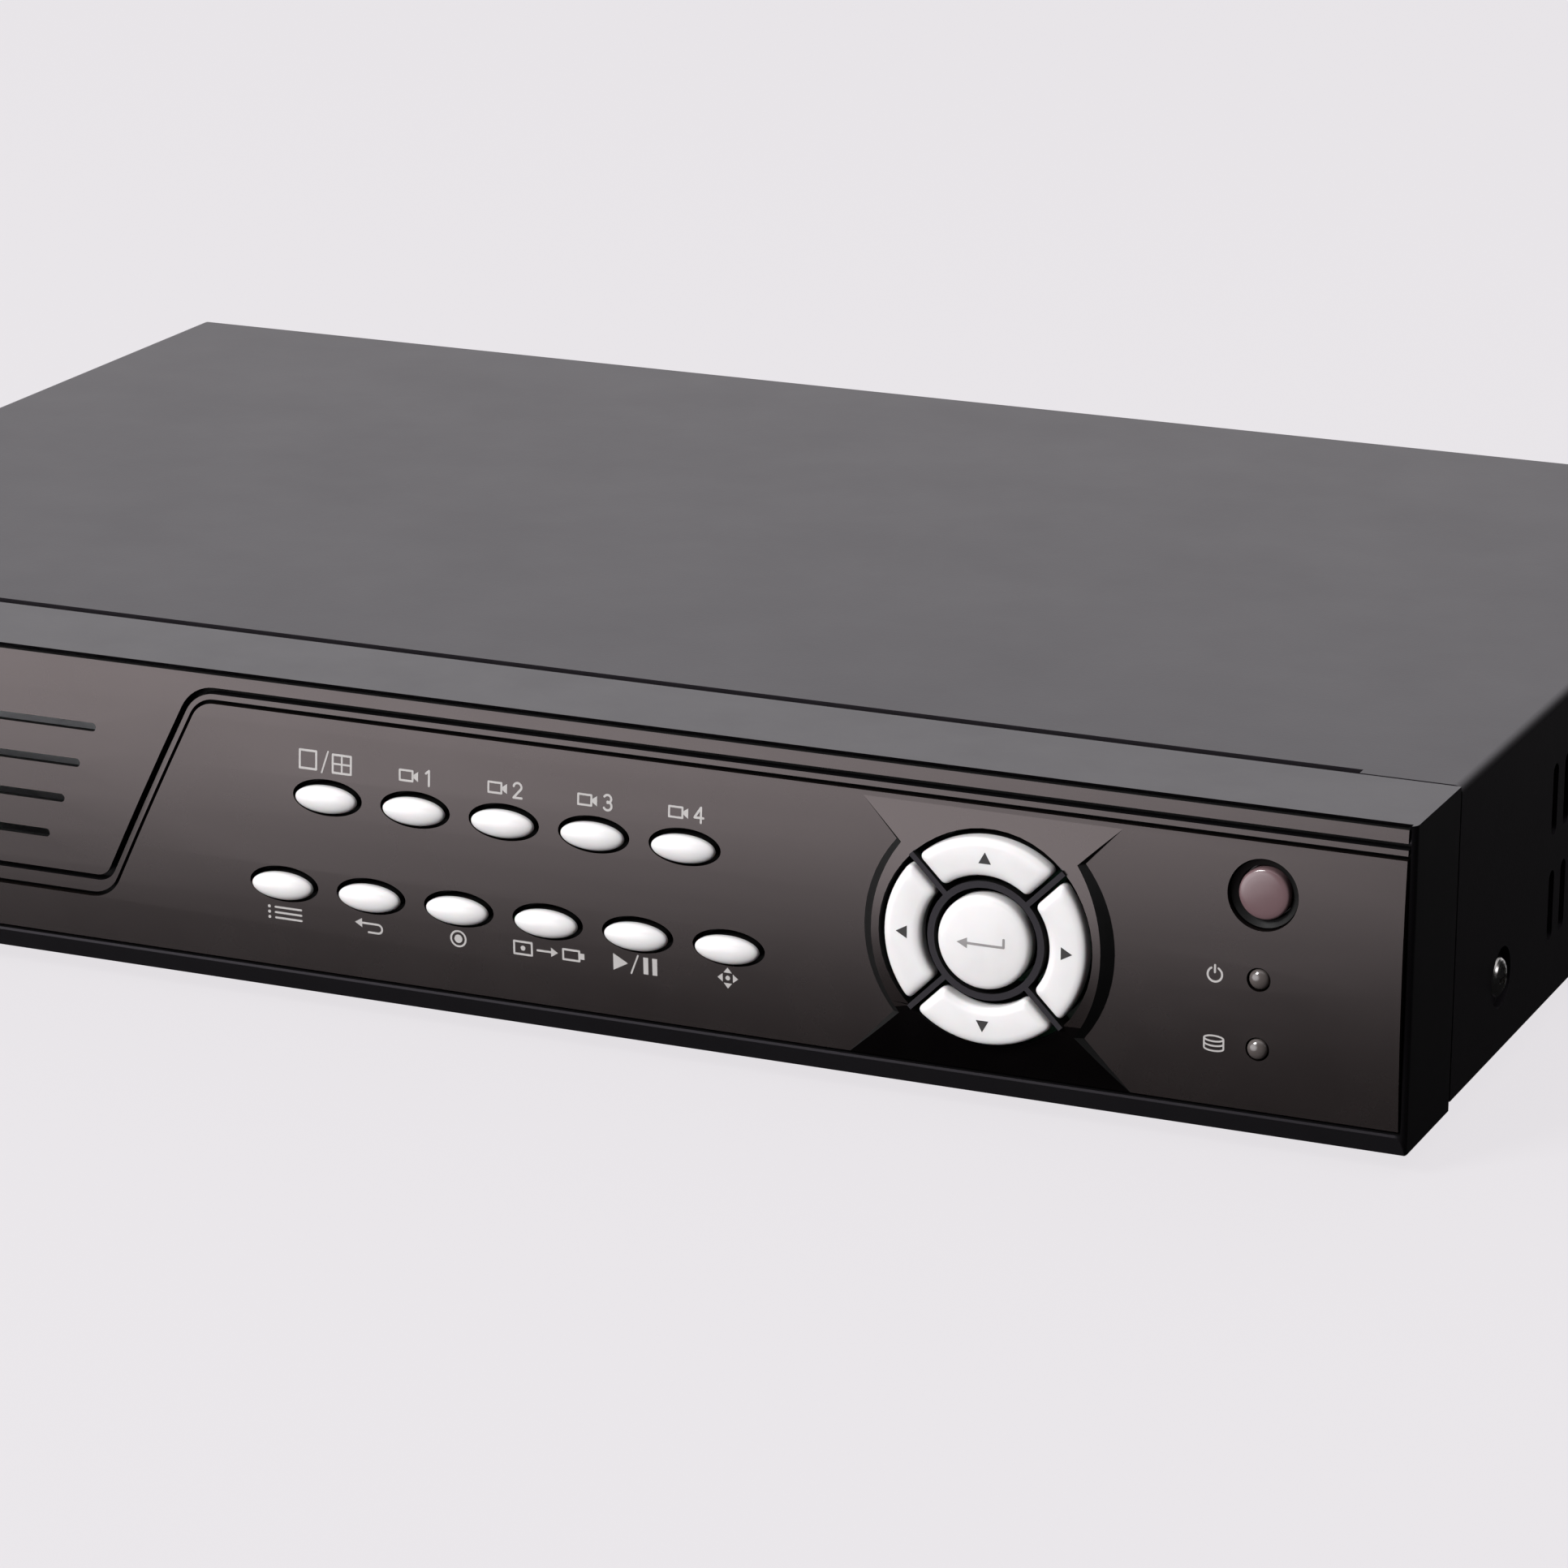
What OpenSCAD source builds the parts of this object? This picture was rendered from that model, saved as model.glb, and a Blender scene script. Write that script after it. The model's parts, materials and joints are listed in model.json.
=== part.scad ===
// Four-channel video recorder: a flat steel case with a moulded front panel, sixteen keys,
// a disk drive, a main board with its back connectors, and a small side fan.
// Millimetres, +Z up, the front panel faces -Y. The origin is at the middle of the bounding
// box, on the surface that the rubber feet stand on.

/* [Case] */
// Width over the side walls
body_w = 300; // [296:1:310]
// Depth from the front face to the back edge of the cover
body_d = 206; // [206:1:220]
// Height from the underside of the chin to the top of the cover
body_h = 48; // [48:0.5:52]
// Thickness of the steel sheet
sheet_t = 1; // [0.8:0.1:1]
// Depth of the moulded front frame
bezel_d = 20.6; // [20:0.1:22]
// Radius of the upright front edges
edge_r = 1.4; // [0.8:0.1:1.6]
// Open seam between the front frame and the cover
seam = 0.5; // [0.4:0.1:1]
// How far the roof of the cover is set back behind the seam
notch_d = 1.7; // [1:0.1:4]
// Height of the pan's underside above the chin's
pan_lift = 1.2; // [1:0.1:1.5]
// Radius of a rubber foot
foot_r = 7; // [5:0.5:9]
// Height of a rubber foot below the pan
foot_h = 4.5; // [3:0.5:8]

/* [Front panel] */
// Thickness of the two face plates
face_t = 1.1; // [1:0.05:1.2]
// Gap round the face plates
face_gap = 0.4; // [0.3:0.05:0.5]
// How far the middle of the face bulges forward of its edges
crown = 1; // [0.5:0.1:1.2]
// Lean of the slanted groove from upright
slant = 25.5; // [20:0.5:30]
// Number of air slots in the left plate
louvres = 4; // [2:1:4]
// Height of an air slot
louvre_h = 1.3; // [0.8:0.1:1.4]

/* [Keys] */
// Width of an oval key
key_w = 10; // [9:0.1:11]
// Height of an oval key
key_h = 4.2; // [4:0.1:5.4]
// Spacing of the oval keys
key_pitch = 14.43; // [14:0.01:14.6]
// Gap round a key
key_gap = 0.7; // [0.35:0.05:0.8]
// How far an oval key stands forward of the face
key_proud = 1.3; // [0.8:0.1:1.8]
// Travel of every key
key_travel = 0.5; // [0.3:0.1:0.6]

/* [Direction pad] */
// Middle of the pad across the front
nav_x = 88.1; // [84:0.1:92]
// Middle of the pad above the chin's underside
nav_z = 23.7; // [23:0.1:24.5]
// Outer radius of the four direction keys
nav_r = 15.35; // [14.5:0.05:15.5]
// Inner radius of the four direction keys
nav_in_r = 9.7; // [9.4:0.05:9.9]
// Radius of the middle key
enter_r = 7; // [6.4:0.05:7]
// Radius of the raised shield round the pad
shield_r = 20.6; // [20:0.1:21]
// Width of the ribs between the direction keys
rib_w = 0.8; // [0.6:0.1:1.2]

/* [Side vents] */
// Slots in each row
vent_count = 17; // [8:1:17]
// Spacing of the slots
vent_pitch = 6; // [5:0.5:6]
// Width of a slot
vent_w = 2.6; // [2:0.1:3]
// Height of a slot
vent_h = 11; // [8:0.5:12]

/* [Back connectors] */
// Spacing of the video connectors
bnc_pitch = 22; // [20:0.5:22]
// Outer radius of a video connector's barrel
bnc_r = 4.8; // [4.75:0.01:4.85]
// Outer radius of an audio socket
rca_r = 4.15; // [4.1:0.01:4.2]
// How far the video connectors reach behind the back wall
bnc_reach = 12.5; // [12:0.1:13]

/* [Inside] */
// Thickness of the circuit boards
board_t = 1.6; // [1:0.2:1.6]
// Height of the main board's standoffs
standoff_h = 5; // [4:0.5:6]
// Length of the disk drive
drive_l = 147; // [146:0.5:147]
// Width of the disk drive
drive_w = 101.6; // [101:0.1:101.6]
// Height of the disk drive
drive_h = 26.1; // [20:0.1:26.1]
// Width of the fan
fan_w = 40; // [38:0.5:40]
// Depth of the fan
fan_d = 10; // [10:0.5:12]
// Number of fan blades
fan_blades = 7; // [5:1:9]

/* [Hidden] */
$fn = 64;
eps = 0.01;

// Levels above the chin's underside and depths behind the front face
half_w = body_w / 2;
chin_lift = foot_h - pan_lift;
pan_top = pan_lift + sheet_t;
roof = body_h - sheet_t;
cover_y = bezel_d + seam;
lip_y = body_d - sheet_t;
wall_y = lip_y - sheet_t;
flange_x = half_w - 3.3;
pan_x = half_w - sheet_t - 0.1;

// Face plates
chin_h = 3.1;
chin_lean = 0.7;
face_low = chin_h + face_gap;
face_top = body_h - 0.65;
face_x = half_w - 1.1;
face_mid_z = (face_low + face_top) / 2;
face_y = -0.7;
face_half = (face_top - face_low) / 2;
crown_r = (face_half * face_half + crown * crown) / (2 * crown);
ledge_y = 2.2;
ledge_t = 1.8;
frame_t = 1.8;

// The slanted groove: [level of its right part, sideways shift, level of its left part,
// upper corner radius, lower corner radius] for each of its lines
slant_x = -46;
slant_z = 29.2;
VENT_EDGE = [45.45, -1.2, 13.9, 6, 2.5];
BEAD_UPPER = [44.4, -0.25, 12.95, 5.2, 3.3];
BEAD_LOWER = [43.6, 0.55, 10.95, 4.4, 4.8];
PANEL_EDGE = [43, 1.2, 10.3, 3.8, 5.5];
WEB_UPPER = [46.5, -4, 17, 6, 3];
WEB_LOWER = [41.6, 4, 8, 3, 8];
corner_steps = 8;

// Keys: [column, upper row] counted from the left end of each row
upper_row_x = -16.9;
lower_row_x = -24.4;
upper_row_z = 30.8;
lower_row_z = 16.43;
key_root = 2.9;
flange_t = 0.8;
flange_w = 1.6;
key_hole_shift = [0.2, 0.25];
plunger_r = 1.7;
board_y = 9;
switch_h = 3.5;
switch_w = 6;
plunger_tip = 6.2;
nav_key_y = -2.7;
enter_y = -3.2;
nav_press_r = 12.2;
shield_y = -2.2;
shield_half = 19.4;
pad_gap = 0.85;
hook_x = [140, half_w - frame_t + 0.1];
hook_zs = [10, 35];
shield_foot = 0.8;
shield_h = 4;
shield_scale = 0.79;
flare_at = 19;
flare_depth = 5.08;
flare_angle = 41;
hub_out_r = nav_in_r - pad_gap;
hub_in_r = enter_r + pad_gap;

// Lamps and receiver window
window_at = [128.5, 35.5];
window_r = 3.75;
window_hole_r = 5.2;
lamp_x = 128.3;
lamp_zs = [23.2, 12.9];
lamp_r = 1.5;

// Key board
key_board_x = [-34, 139.2];
key_board_z = [5.5, 42.5];
BOSSES = [for (x = [-31, 62, 136.2]) for (z = [9.8, 38]) [x, z]];

// Cover
vent_first_y = 69;
vent_rows_z = [16, 32.5];
SIDE_SCREWS = [[44.5, 12.5], [182, 12.5]];
BACK_SCREWS = [-120, 0, 120];
back_screw_z = 43;
dimple_r = 4.6;
dimple_h = 1.2;
screw_r = 1.5;

// Boards
board_low = pan_top + standoff_h;
board_top = board_low + board_t;
main_x = 143;
main_y = [132, wall_y - 0.5];
STANDOFFS = [for (x = [-139.5, -21.65, 139.5]) for (y = [138, 197]) [x, y]];
processor_at = [-52, 162];

// Back connectors across the back wall
back_y = lip_y;
bnc_x0 = 126;
bnc_z = board_top + 8.7;
BNCS = [for (i = [0:4]) bnc_x0 - i * bnc_pitch];
RCAS = [[16, 15], [16, 29], [2, 15], [2, 29], [-12, 15]];
vga_x = -40;
hdmi_x = -66;
usb_x = -84;
lan_x = -101.5;
rs485_x = -118;
inlet_x = -132;
inlet_z = board_top + 5.5;
SHIELD = [[-125.7, 6.7], [-56.5, 26.6]];
shield_lap = 1.3;
rear_reach = back_y + bnc_reach;

// Drive
drive_x = -104;
drive_y = 26;
drive_z = pan_top + 2.8;
DRIVE_SCREWS = [for (x = [drive_l - 41.3, drive_l - 85.75]) for (y = [3.18, 98.43])
    [drive_x + x, drive_y + y]];

// Fan
fan_x = sheet_t - flange_x;
fan_y = 97;
fan_z = 24.6;
fan_bore_r = fan_w / 2 - 1;
FAN_SCREWS = [for (y = [-1, 1]) for (z = [-1, 1]) [fan_y + 16 * y, fan_z + 16 * z]];

// Feet
FEET = [for (x = [-122, 122]) for (y = [34, 176]) [x, y]];

// Middle of the bounding box, front to back
mid_y = (rear_reach + enter_y) / 2;

// Colours
steel_black = "#26262a";
panel_black = "#2e2b2b";
key_white = "#f2f0f0";
board_green = "#1d5a3a";
metal = "#c4c6ca";
brass = "#c9a24a";
plastic_black = "#161618";

// ---------------------------------------------------------------- helpers

// From the chin's front bottom edge to the row's origin
module placed() {
    translate([0, -mid_y, chin_lift]) children();
}

// A flat shape drawn in X and Z, thickened from depth y0 to depth y1
module upright(y0, y1) {
    translate([0, y1, 0]) rotate([90, 0, 0]) linear_extrude(y1 - y0) children();
}

// A shape drawn along +Z from the origin, turned to point along +Y at a place
module facing_back(x, y, z) {
    translate([x, y, z]) rotate([-90, 0, 0]) children();
}

// The same, turned to point along -Y
module facing_front(x, y, z) {
    translate([x, y, z]) rotate([90, 0, 0]) children();
}

// A box given by two corners
module block(low, high) {
    translate(low) cube(high - low);
}

function unit(v) = v / norm(v);
function reversed(list) = [for (i = [len(list) - 1:-1:0]) list[i]];

// Points of the arc of radius r that rounds corner b between a and c
function rounded(a, b, c, r, n = corner_steps) =
    let (u = unit(a - b), w = unit(c - b), half = acos(u * w) / 2,
         centre = b + unit(u + w) * r / sin(half),
         p = b + u * r / tan(half), q = b + w * r / tan(half),
         a0 = atan2(p.y - centre.y, p.x - centre.x),
         a1 = atan2(q.y - centre.y, q.x - centre.x),
         sweep = (a1 - a0 + 540) % 360 - 180)
    [for (i = [0:n]) centre + r * [cos(a0 + sweep * i / n), sin(a0 + sweep * i / n)]];

// Points of an ellipse, width by height
function oval(w, h, n = 48) = [for (i = [0:n - 1]) [cos(i * 360 / n) * w, sin(i * 360 / n) * h] / 2];

// One line of the groove, from its right end to its left end
function groove(line) =
    let (at = function (z) slant_x + line[1] + (z - slant_z) * tan(slant),
         right = [face_x, line[0]], upper = [at(line[0]), line[0]],
         lower = [at(line[2]), line[2]], left = [-face_x, line[2]])
    concat([right], rounded(right, upper, lower, line[3]), rounded(upper, lower, left, line[4]), [left]);

// Everything behind the bulged face, its foremost line at depth y
module bulge(y, r) {
    translate([0, y + r, face_mid_z]) rotate([0, 90, 0])
        cylinder(r = r, h = body_w + 20, center = true, $fn = 256);
}

// A face plate cut from the bulged skin
module face_plate(outline) {
    intersection() {
        upright(-2, 4) polygon(outline);
        difference() {
            bulge(face_y, crown_r);
            bulge(face_y + face_t, crown_r - face_t);
        }
    }
}

// A tube through the points, each ring square to the way it runs
module tube(points, w, h, sides = 8) {
    n = len(points);
    rings = [for (i = [0:n - 1])
        let (ahead = points[min(i + 1, n - 1)] - points[max(i - 1, 0)], t = unit(ahead),
             side = unit(cross(t, abs(t.z) > 0.9 ? [0, 1, 0] : [0, 0, 1])), up = cross(side, t))
        for (k = [0:sides - 1]) let (a = (k + 0.5) * 360 / sides)
            points[i] + side * w / 2 * cos(a) + up * h / 2 * sin(a)];
    faces = concat(
        [[for (k = [sides - 1:-1:0]) k], [for (k = [0:sides - 1]) (n - 1) * sides + k]],
        [for (i = [0:n - 2]) for (k = [0:sides - 1]) let (a = i * sides + k, b = i * sides + (k + 1) % sides)
            for (f = [[a, b, a + sides], [b, b + sides, a + sides]]) f]);
    polyhedron(points = rings, faces = faces, convexity = 6);
}

// Points of a smooth curve from a to b that leaves along da and arrives along db
function sweep_between(a, da, b, db, n = 14) =
    [for (i = [0:n]) let (t = i / n, s = 1 - t)
        s * s * s * a + 3 * s * s * t * (a + da) + 3 * s * t * t * (b - db) + t * t * t * b];

// A pan-head screw along +Z: head from the origin up, shank down
module screw(head_r, head_h, shank_r, shank_l) {
    difference() {
        union() {
            rotate_extrude() polygon(concat(
                [[0, 0], [head_r, 0], [head_r, head_h * 0.35]],
                [for (a = [15:15:75]) [head_r * cos(a) * 0.98, head_h * (0.35 + 0.65 * sin(a))]],
                [[0, head_h]]));
            translate([0, 0, -shank_l]) cylinder(r = shank_r, h = shank_l + eps);
        }
        for (a = [0, 90]) rotate(a)
            translate([0, 0, head_h * 0.8]) cube([head_r * 1.15, head_r * 0.28, head_h], center = true);
    }
}

// ---------------------------------------------------------------- case

// Outline of the folded cover seen from the front
function cover_profile() =
    let (x = half_w, z = body_h, r = 1.2, t = sheet_t, low = pan_lift)
    concat([[-x, low]], rounded([-x, low], [-x, z], [x, z], r), rounded([-x, z], [x, z], [x, low], r),
        [[x, low], [x - t, low], [x - t, z - t], [-x + t, z - t], [-x + t, low]]);

// An upright slot with round ends, through a side wall
module side_slot(y, z) {
    translate([0, y, z]) rotate([0, 90, 0]) linear_extrude(4, center = true) {
        square([vent_h - vent_w, vent_w], center = true);
        for (e = [-1, 1]) translate([e * (vent_h - vent_w) / 2, 0]) circle(d = vent_w, $fn = 24);
    }
}

module top_cover() {
    tongue_x = 135;
    color(steel_black) placed() {
        difference() {
            union() {
                upright(cover_y, body_d) polygon(cover_profile());
                for (s = [-1, 1]) for (p = SIDE_SCREWS)
                    translate([s * (half_w - 1.1), p.x, p.y]) rotate([0, 90, 0])
                        cylinder(r = dimple_r + 0.9, h = dimple_h + sheet_t, center = true);
                block([-half_w + 8, lip_y, 39.5], [half_w - 8, body_d, roof + eps]);
            }
            // The roof is set back between two corner tongues
            block([-tongue_x, cover_y - 1, roof - 1], [tongue_x, cover_y + notch_d, body_h + 1]);
            for (s = [-1, 1]) {
                for (p = SIDE_SCREWS) translate([s * half_w, p.x, p.y]) rotate([0, 90, 0]) {
                    cylinder(r = dimple_r, h = 2 * dimple_h, center = true);
                    cylinder(r = screw_r + 0.2, h = 6, center = true);
                }
                for (i = [0:vent_count - 1]) for (z = vent_rows_z)
                    translate([s * (half_w - sheet_t / 2), 0, 0]) side_slot(vent_first_y + i * vent_pitch, z);
            }
            for (x = BACK_SCREWS)
                facing_back(x, lip_y - 1, back_screw_z) cylinder(r = screw_r + 0.2, h = 3);
        }
    }
}

// Openings of the back panel, one for each round or single connector, and one for the port shield
module back_openings() {
    for (x = BNCS) facing_back(x, wall_y - 1, bnc_z) cylinder(r = 6.5, h = 3);
    for (p = RCAS) facing_back(p.x, wall_y - 1, p.y) cylinder(r = rca_r + 0.85, h = 3);
    block([vga_x - 15.8, wall_y - 1, board_top - 0.3], [vga_x + 15.8, lip_y + 1, board_top + 13]);
    facing_back(inlet_x, wall_y - 1, inlet_z) cylinder(r = 4.9, h = 3);
    block([SHIELD[0].x + shield_lap, wall_y - 1, SHIELD[0].y + shield_lap],
        [SHIELD[1].x - shield_lap, lip_y + 1, SHIELD[1].y - shield_lap]);
    for (x = [-134:7:-64]) block([x - 1.4, wall_y - 1, 30], [x + 1.4, lip_y + 1, 37]);
}

module chassis_pan() {
    wall_front = bezel_d + 0.3;
    color(steel_black) placed() difference() {
        union() {
            block([-pan_x, wall_front, pan_lift], [pan_x, lip_y, pan_top]);
            block([-flange_x, wall_front, pan_top - eps], [flange_x, cover_y + 0.5, roof - 0.3]);
            block([-flange_x, wall_front, roof - 1.3], [flange_x, cover_y + notch_d + 2.5, roof - 0.3]);
            for (s = [-1, 1])
                block([min(s * flange_x, s * (flange_x - sheet_t)), cover_y, pan_top - eps],
                    [max(s * flange_x, s * (flange_x - sheet_t)), wall_y - 0.2, 19]);
            block([-flange_x, fan_y - fan_w / 2 - 1, 18.9], [sheet_t - flange_x, fan_y + fan_w / 2 + 1,
                45.5]);
            for (p = DRIVE_SCREWS) translate([p.x, p.y, pan_top - eps])
                cylinder(r = 5, h = drive_z - pan_top + eps);
        }
        // Cable way and air way through the front wall
        block([48, cover_y - 2, 10], [128, cover_y + 2, 36]);
        block([-128, cover_y - 2, 10], [-16, cover_y + 2, 36]);
        for (s = [0, 1]) mirror([s, 0, 0]) for (z = hook_zs)
            block([hook_x[0] - 0.4, cover_y - 2, z - 1.4], [hook_x[1] + 1, cover_y + 2, z + 1.4]);
        for (p = DRIVE_SCREWS) translate([p.x, p.y, pan_lift - 1]) cylinder(r = 1.9, h = 6);
        for (s = [-1, 1]) for (p = SIDE_SCREWS)
            translate([s * flange_x, p.x, p.y]) rotate([0, 90, 0]) cylinder(r = screw_r + eps, h = 6,
                center = true);
        translate([-flange_x - 1, fan_y, fan_z]) rotate([0, 90, 0]) cylinder(r = fan_bore_r - 0.6, h = 3);
        for (p = FAN_SCREWS) translate([-flange_x - 1, p.x, p.y]) rotate([0, 90, 0]) cylinder(r = 1.8, h = 3);
        for (p = FEET) translate([p.x, p.y, pan_lift - 1]) cylinder(r = 2, h = 4);
    }
}

module back_panel() {
    color(steel_black) placed() difference() {
        union() {
            block([-pan_x, wall_y, pan_top], [pan_x, lip_y, roof - 0.1]);
            block([-132, wall_y - 3.6, pan_top], [132, wall_y + eps, pan_top + sheet_t]);
        }
        back_openings();
        for (x = BACK_SCREWS) facing_back(x, wall_y - 1, back_screw_z) cylinder(r = screw_r + eps, h = 3);
    }
}

// Plate with the openings of the four rectangular ports
module port_shield() {
    color(metal) placed() difference() {
        block([SHIELD[0].x, lip_y, SHIELD[0].y], [SHIELD[1].x, lip_y + 0.8, SHIELD[1].y]);
        block([hdmi_x - 7.8, wall_y - 1, board_top - 0.3], [hdmi_x + 7.8, lip_y + 1, board_top + 6.2]);
        block([usb_x - 6.9, wall_y - 1, board_top - 0.3], [usb_x + 6.9, lip_y + 1, board_top + 16]);
        block([lan_x - 8.3, wall_y - 1, board_top - 0.3], [lan_x + 8.3, lip_y + 1, board_top + 13.9]);
        block([rs485_x - 6, wall_y - 1, board_top - 0.3], [rs485_x + 6, lip_y + 1, board_top + 9.3]);
    }
}

module front_bezel() {
    color(panel_black) placed() {
        outer = concat(rounded([-half_w, bezel_d], [-half_w, 0], [half_w, 0], edge_r),
            rounded([-half_w, 0], [half_w, 0], [half_w, bezel_d], edge_r),
            [[half_w, bezel_d], [-half_w, bezel_d]]);
        pocket_x = face_x + face_gap;
        difference() {
            linear_extrude(body_h) polygon(outer);
            // Seat of the face plates, undercut below the roof
            rotate([90, 0, 90]) linear_extrude(2 * pocket_x, center = true) polygon([
                [-1, chin_h], [ledge_y, chin_h], [ledge_y, body_h - 2.6], [3.1, body_h - frame_t],
                [1, body_h], [1, body_h + 1], [-1, body_h + 1]]);
            // Hollow behind the ledge
            block([frame_t - half_w, ledge_y + ledge_t, frame_t], [half_w - frame_t, bezel_d + 1,
                body_h - frame_t]);
            block([5 - half_w, 0, 7], [half_w - 5, bezel_d, body_h - 6]);
            // The chin leans back towards its lower edge
            rotate([90, 0, 90]) linear_extrude(body_w + 2, center = true)
                polygon([[-1, -1], [chin_lean, -1], [chin_lean, 0], [0, chin_h - 0.4], [-1, chin_h - 0.4]]);
        }
        // Web behind the groove, and the bead that shows between its two lines
        intersection() {
            upright(ledge_y, ledge_y + ledge_t) polygon(concat(groove(WEB_UPPER),
                reversed(groove(WEB_LOWER))));
            block([2 - half_w, 0, 2], [half_w - 2, 9, body_h - 2]);
        }
        intersection() {
            upright(-1, ledge_y + eps) polygon(concat(groove(BEAD_UPPER), reversed(groove(BEAD_LOWER))));
            bulge(face_y + 0.25, crown_r);
        }
        // Hooks that hold the frame to the pan
        for (s = [0, 1]) mirror([s, 0, 0]) for (z = hook_zs)
            block([hook_x[0], ledge_y + ledge_t, z - 1], [hook_x[1], bezel_d - 1, z + 1]);
        for (s = [0, 1]) mirror([s, 0, 0]) for (z = hook_zs)
            block([hook_x[0], bezel_d - 1 - eps, z - 1], [flange_x - sheet_t - 0.4, cover_y + 3, z + 1]);
    }
}

// ---------------------------------------------------------------- face plates

// A level air slot with round ends, its right end at x
module louvre(x, z) {
    left_x = 16 - half_w;
    upright(-3, 6) {
        translate([left_x, z - louvre_h / 2]) square([x - left_x, louvre_h]);
        for (e = [left_x, x]) translate([e, z]) circle(d = louvre_h, $fn = 24);
    }
}

module vent_panel() {
    color(panel_black) placed() difference() {
        face_plate(concat(groove(VENT_EDGE), [[-face_x, face_top], [face_x, face_top]]));
        for (i = [0:louvres - 1]) {
            z = 37 - i * 5.85;
            louvre(slant_x + (z - slant_z) * tan(slant) - 14, z);
        }
    }
}

// One waisted end of the shield, above (s = 1) or below (s = -1) the pad: a wedge that slopes at its edges
module shield_end(s) {
    low = flare_at + flare_depth;
    high = flare_at / 2;
    wide = (low + high) * tan(flare_angle);
    translate([nav_x, shield_foot, nav_z + s * flare_at]) rotate([90, 0, 0])
        linear_extrude(shield_h, scale = shield_scale)
            polygon([[0, -s * low], [wide, s * high], [-wide, s * high]]);
}

// The raised shield, bulged more than the face, with round sides and waisted ends that slope at the edge
module shield() {
    rise = crown * pow(shield_half / face_half, 2) - shield_y + face_y;
    shield_bulge_r = (shield_half * shield_half + rise * rise) / (2 * rise);
    intersection() {
        union() {
            facing_front(nav_x, shield_foot, nav_z)
                cylinder(r1 = shield_r, r2 = shield_r * shield_scale, h = shield_h);
            shield_end(1);
            shield_end(-1);
        }
        translate([nav_x, shield_y + shield_bulge_r, nav_z]) rotate([0, 90, 0])
            cylinder(r = shield_bulge_r, h = 60, center = true, $fn = 128);
        block([nav_x - 30, -4, face_low], [nav_x + 30, 2, PANEL_EDGE[0]]);
    }
}

// Cuts the disc round the pad into the space of one direction key, pointing along +X
module quarter(r, gap) {
    reach = r * 2;
    s = gap / sqrt(2);
    polygon([[s * 2, 0], [reach + s * 2, reach], [reach * 2, reach], [reach * 2, -reach], [reach + s * 2,
        -reach]]);
}

module control_panel() {
    color(panel_black) placed() {
        difference() {
            union() {
                face_plate(concat(groove(PANEL_EDGE), [[-face_x, face_low], [face_x, face_low]]));
                shield();
            }
            for (i = [0:4]) key_hole(upper_row_x + i * key_pitch, upper_row_z);
            for (i = [0:5]) key_hole(lower_row_x + i * key_pitch, lower_row_z);
            facing_front(nav_x, 6, nav_z) cylinder(r = nav_r + pad_gap, h = 12);
            facing_front(window_at.x, 6, window_at.y) cylinder(r = window_hole_r, h = 12);
            for (z = lamp_zs) facing_front(lamp_x, 6, z) cylinder(r = lamp_r + 0.25, h = 12);
        }
        // Ring and four ribs between the keys of the pad
        difference() {
            union() {
                facing_front(nav_x, 1.6, nav_z) cylinder(r = hub_out_r, h = 3.5);
                for (a = [45, 135]) facing_front(nav_x, 1.6, nav_z) rotate(a)
                    translate([0, 0, 1.75]) cube([2 * (nav_r + pad_gap + 0.1), rib_w, 3.5], center = true);
            }
            facing_front(nav_x, 6, nav_z) cylinder(r = hub_in_r, h = 12);
        }
        // Bosses for the key board
        for (p = BOSSES) facing_back(p.x, 0.5, p.y) difference() {
            cylinder(r = 2.4, h = board_y - 0.5);
            translate([0, 0, 2]) cylinder(r = 0.85, h = board_y);
        }
    }
}

module key_hole(x, z) {
    upright(-3, 6) translate([x, z] + key_hole_shift) polygon(oval(key_w + 2 * key_gap, key_h + 2 * key_gap));
}

module ir_window() {
    color("#7a5f60") placed() {
        facing_front(window_at.x, 2.4, window_at.y) cylinder(r = window_r, h = 2.3);
        facing_front(window_at.x, 3.4, window_at.y) cylinder(r = window_hole_r + 0.5, h = 1);
    }
}

// A lamp standing on the key board, with its dome in the face
module lamp(z) {
    tip = -0.9;
    facing_front(lamp_x, board_y, z) {
        cylinder(r = lamp_r, h = board_y - tip - lamp_r);
        translate([0, 0, board_y - tip - lamp_r]) sphere(r = lamp_r);
        cylinder(r = lamp_r + 0.4, h = 1);
    }
}

module power_lamp() {
    color("#8d8a8a") placed() lamp(lamp_zs[0]);
}

module drive_lamp() {
    color("#8d8a8a") placed() lamp(lamp_zs[1]);
}

// ---------------------------------------------------------------- keys

// Stem of a key, with the plunger that it pushes into its switch
module plunger(x, z) {
    facing_back(x, key_root, z) cylinder(r = plunger_r + 0.5, h = 4.6 - key_root);
    facing_back(x, 4.6, z) cylinder(r = plunger_r, h = plunger_tip - 4.6);
}

// An oval key with a domed front and a flange behind the face
module oval_key(x, z) {
    front = face_y - key_proud;
    dome = [[0, 1], [0.45, 0.94], [0.8, 0.8], [1.05, 0.6], [1.25, 0.3]];
    color(key_white) placed() {
        hull() for (s = dome) {
            upright(front + s[0], front + s[0] + 0.02) translate([x, z])
                polygon(oval(key_w * (1 - 0.55 * s[1]), key_h * (1 - 0.6 * s[1]), 28));
        }
        upright(front + 1.25, key_root - flange_t) translate([x, z]) polygon(oval(key_w, key_h));
        upright(key_root - flange_t, key_root) translate([x, z]) polygon(oval(key_w + 2 * flange_w,
            key_h + 2 * flange_w));
        plunger(x, z);
    }
}

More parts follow.
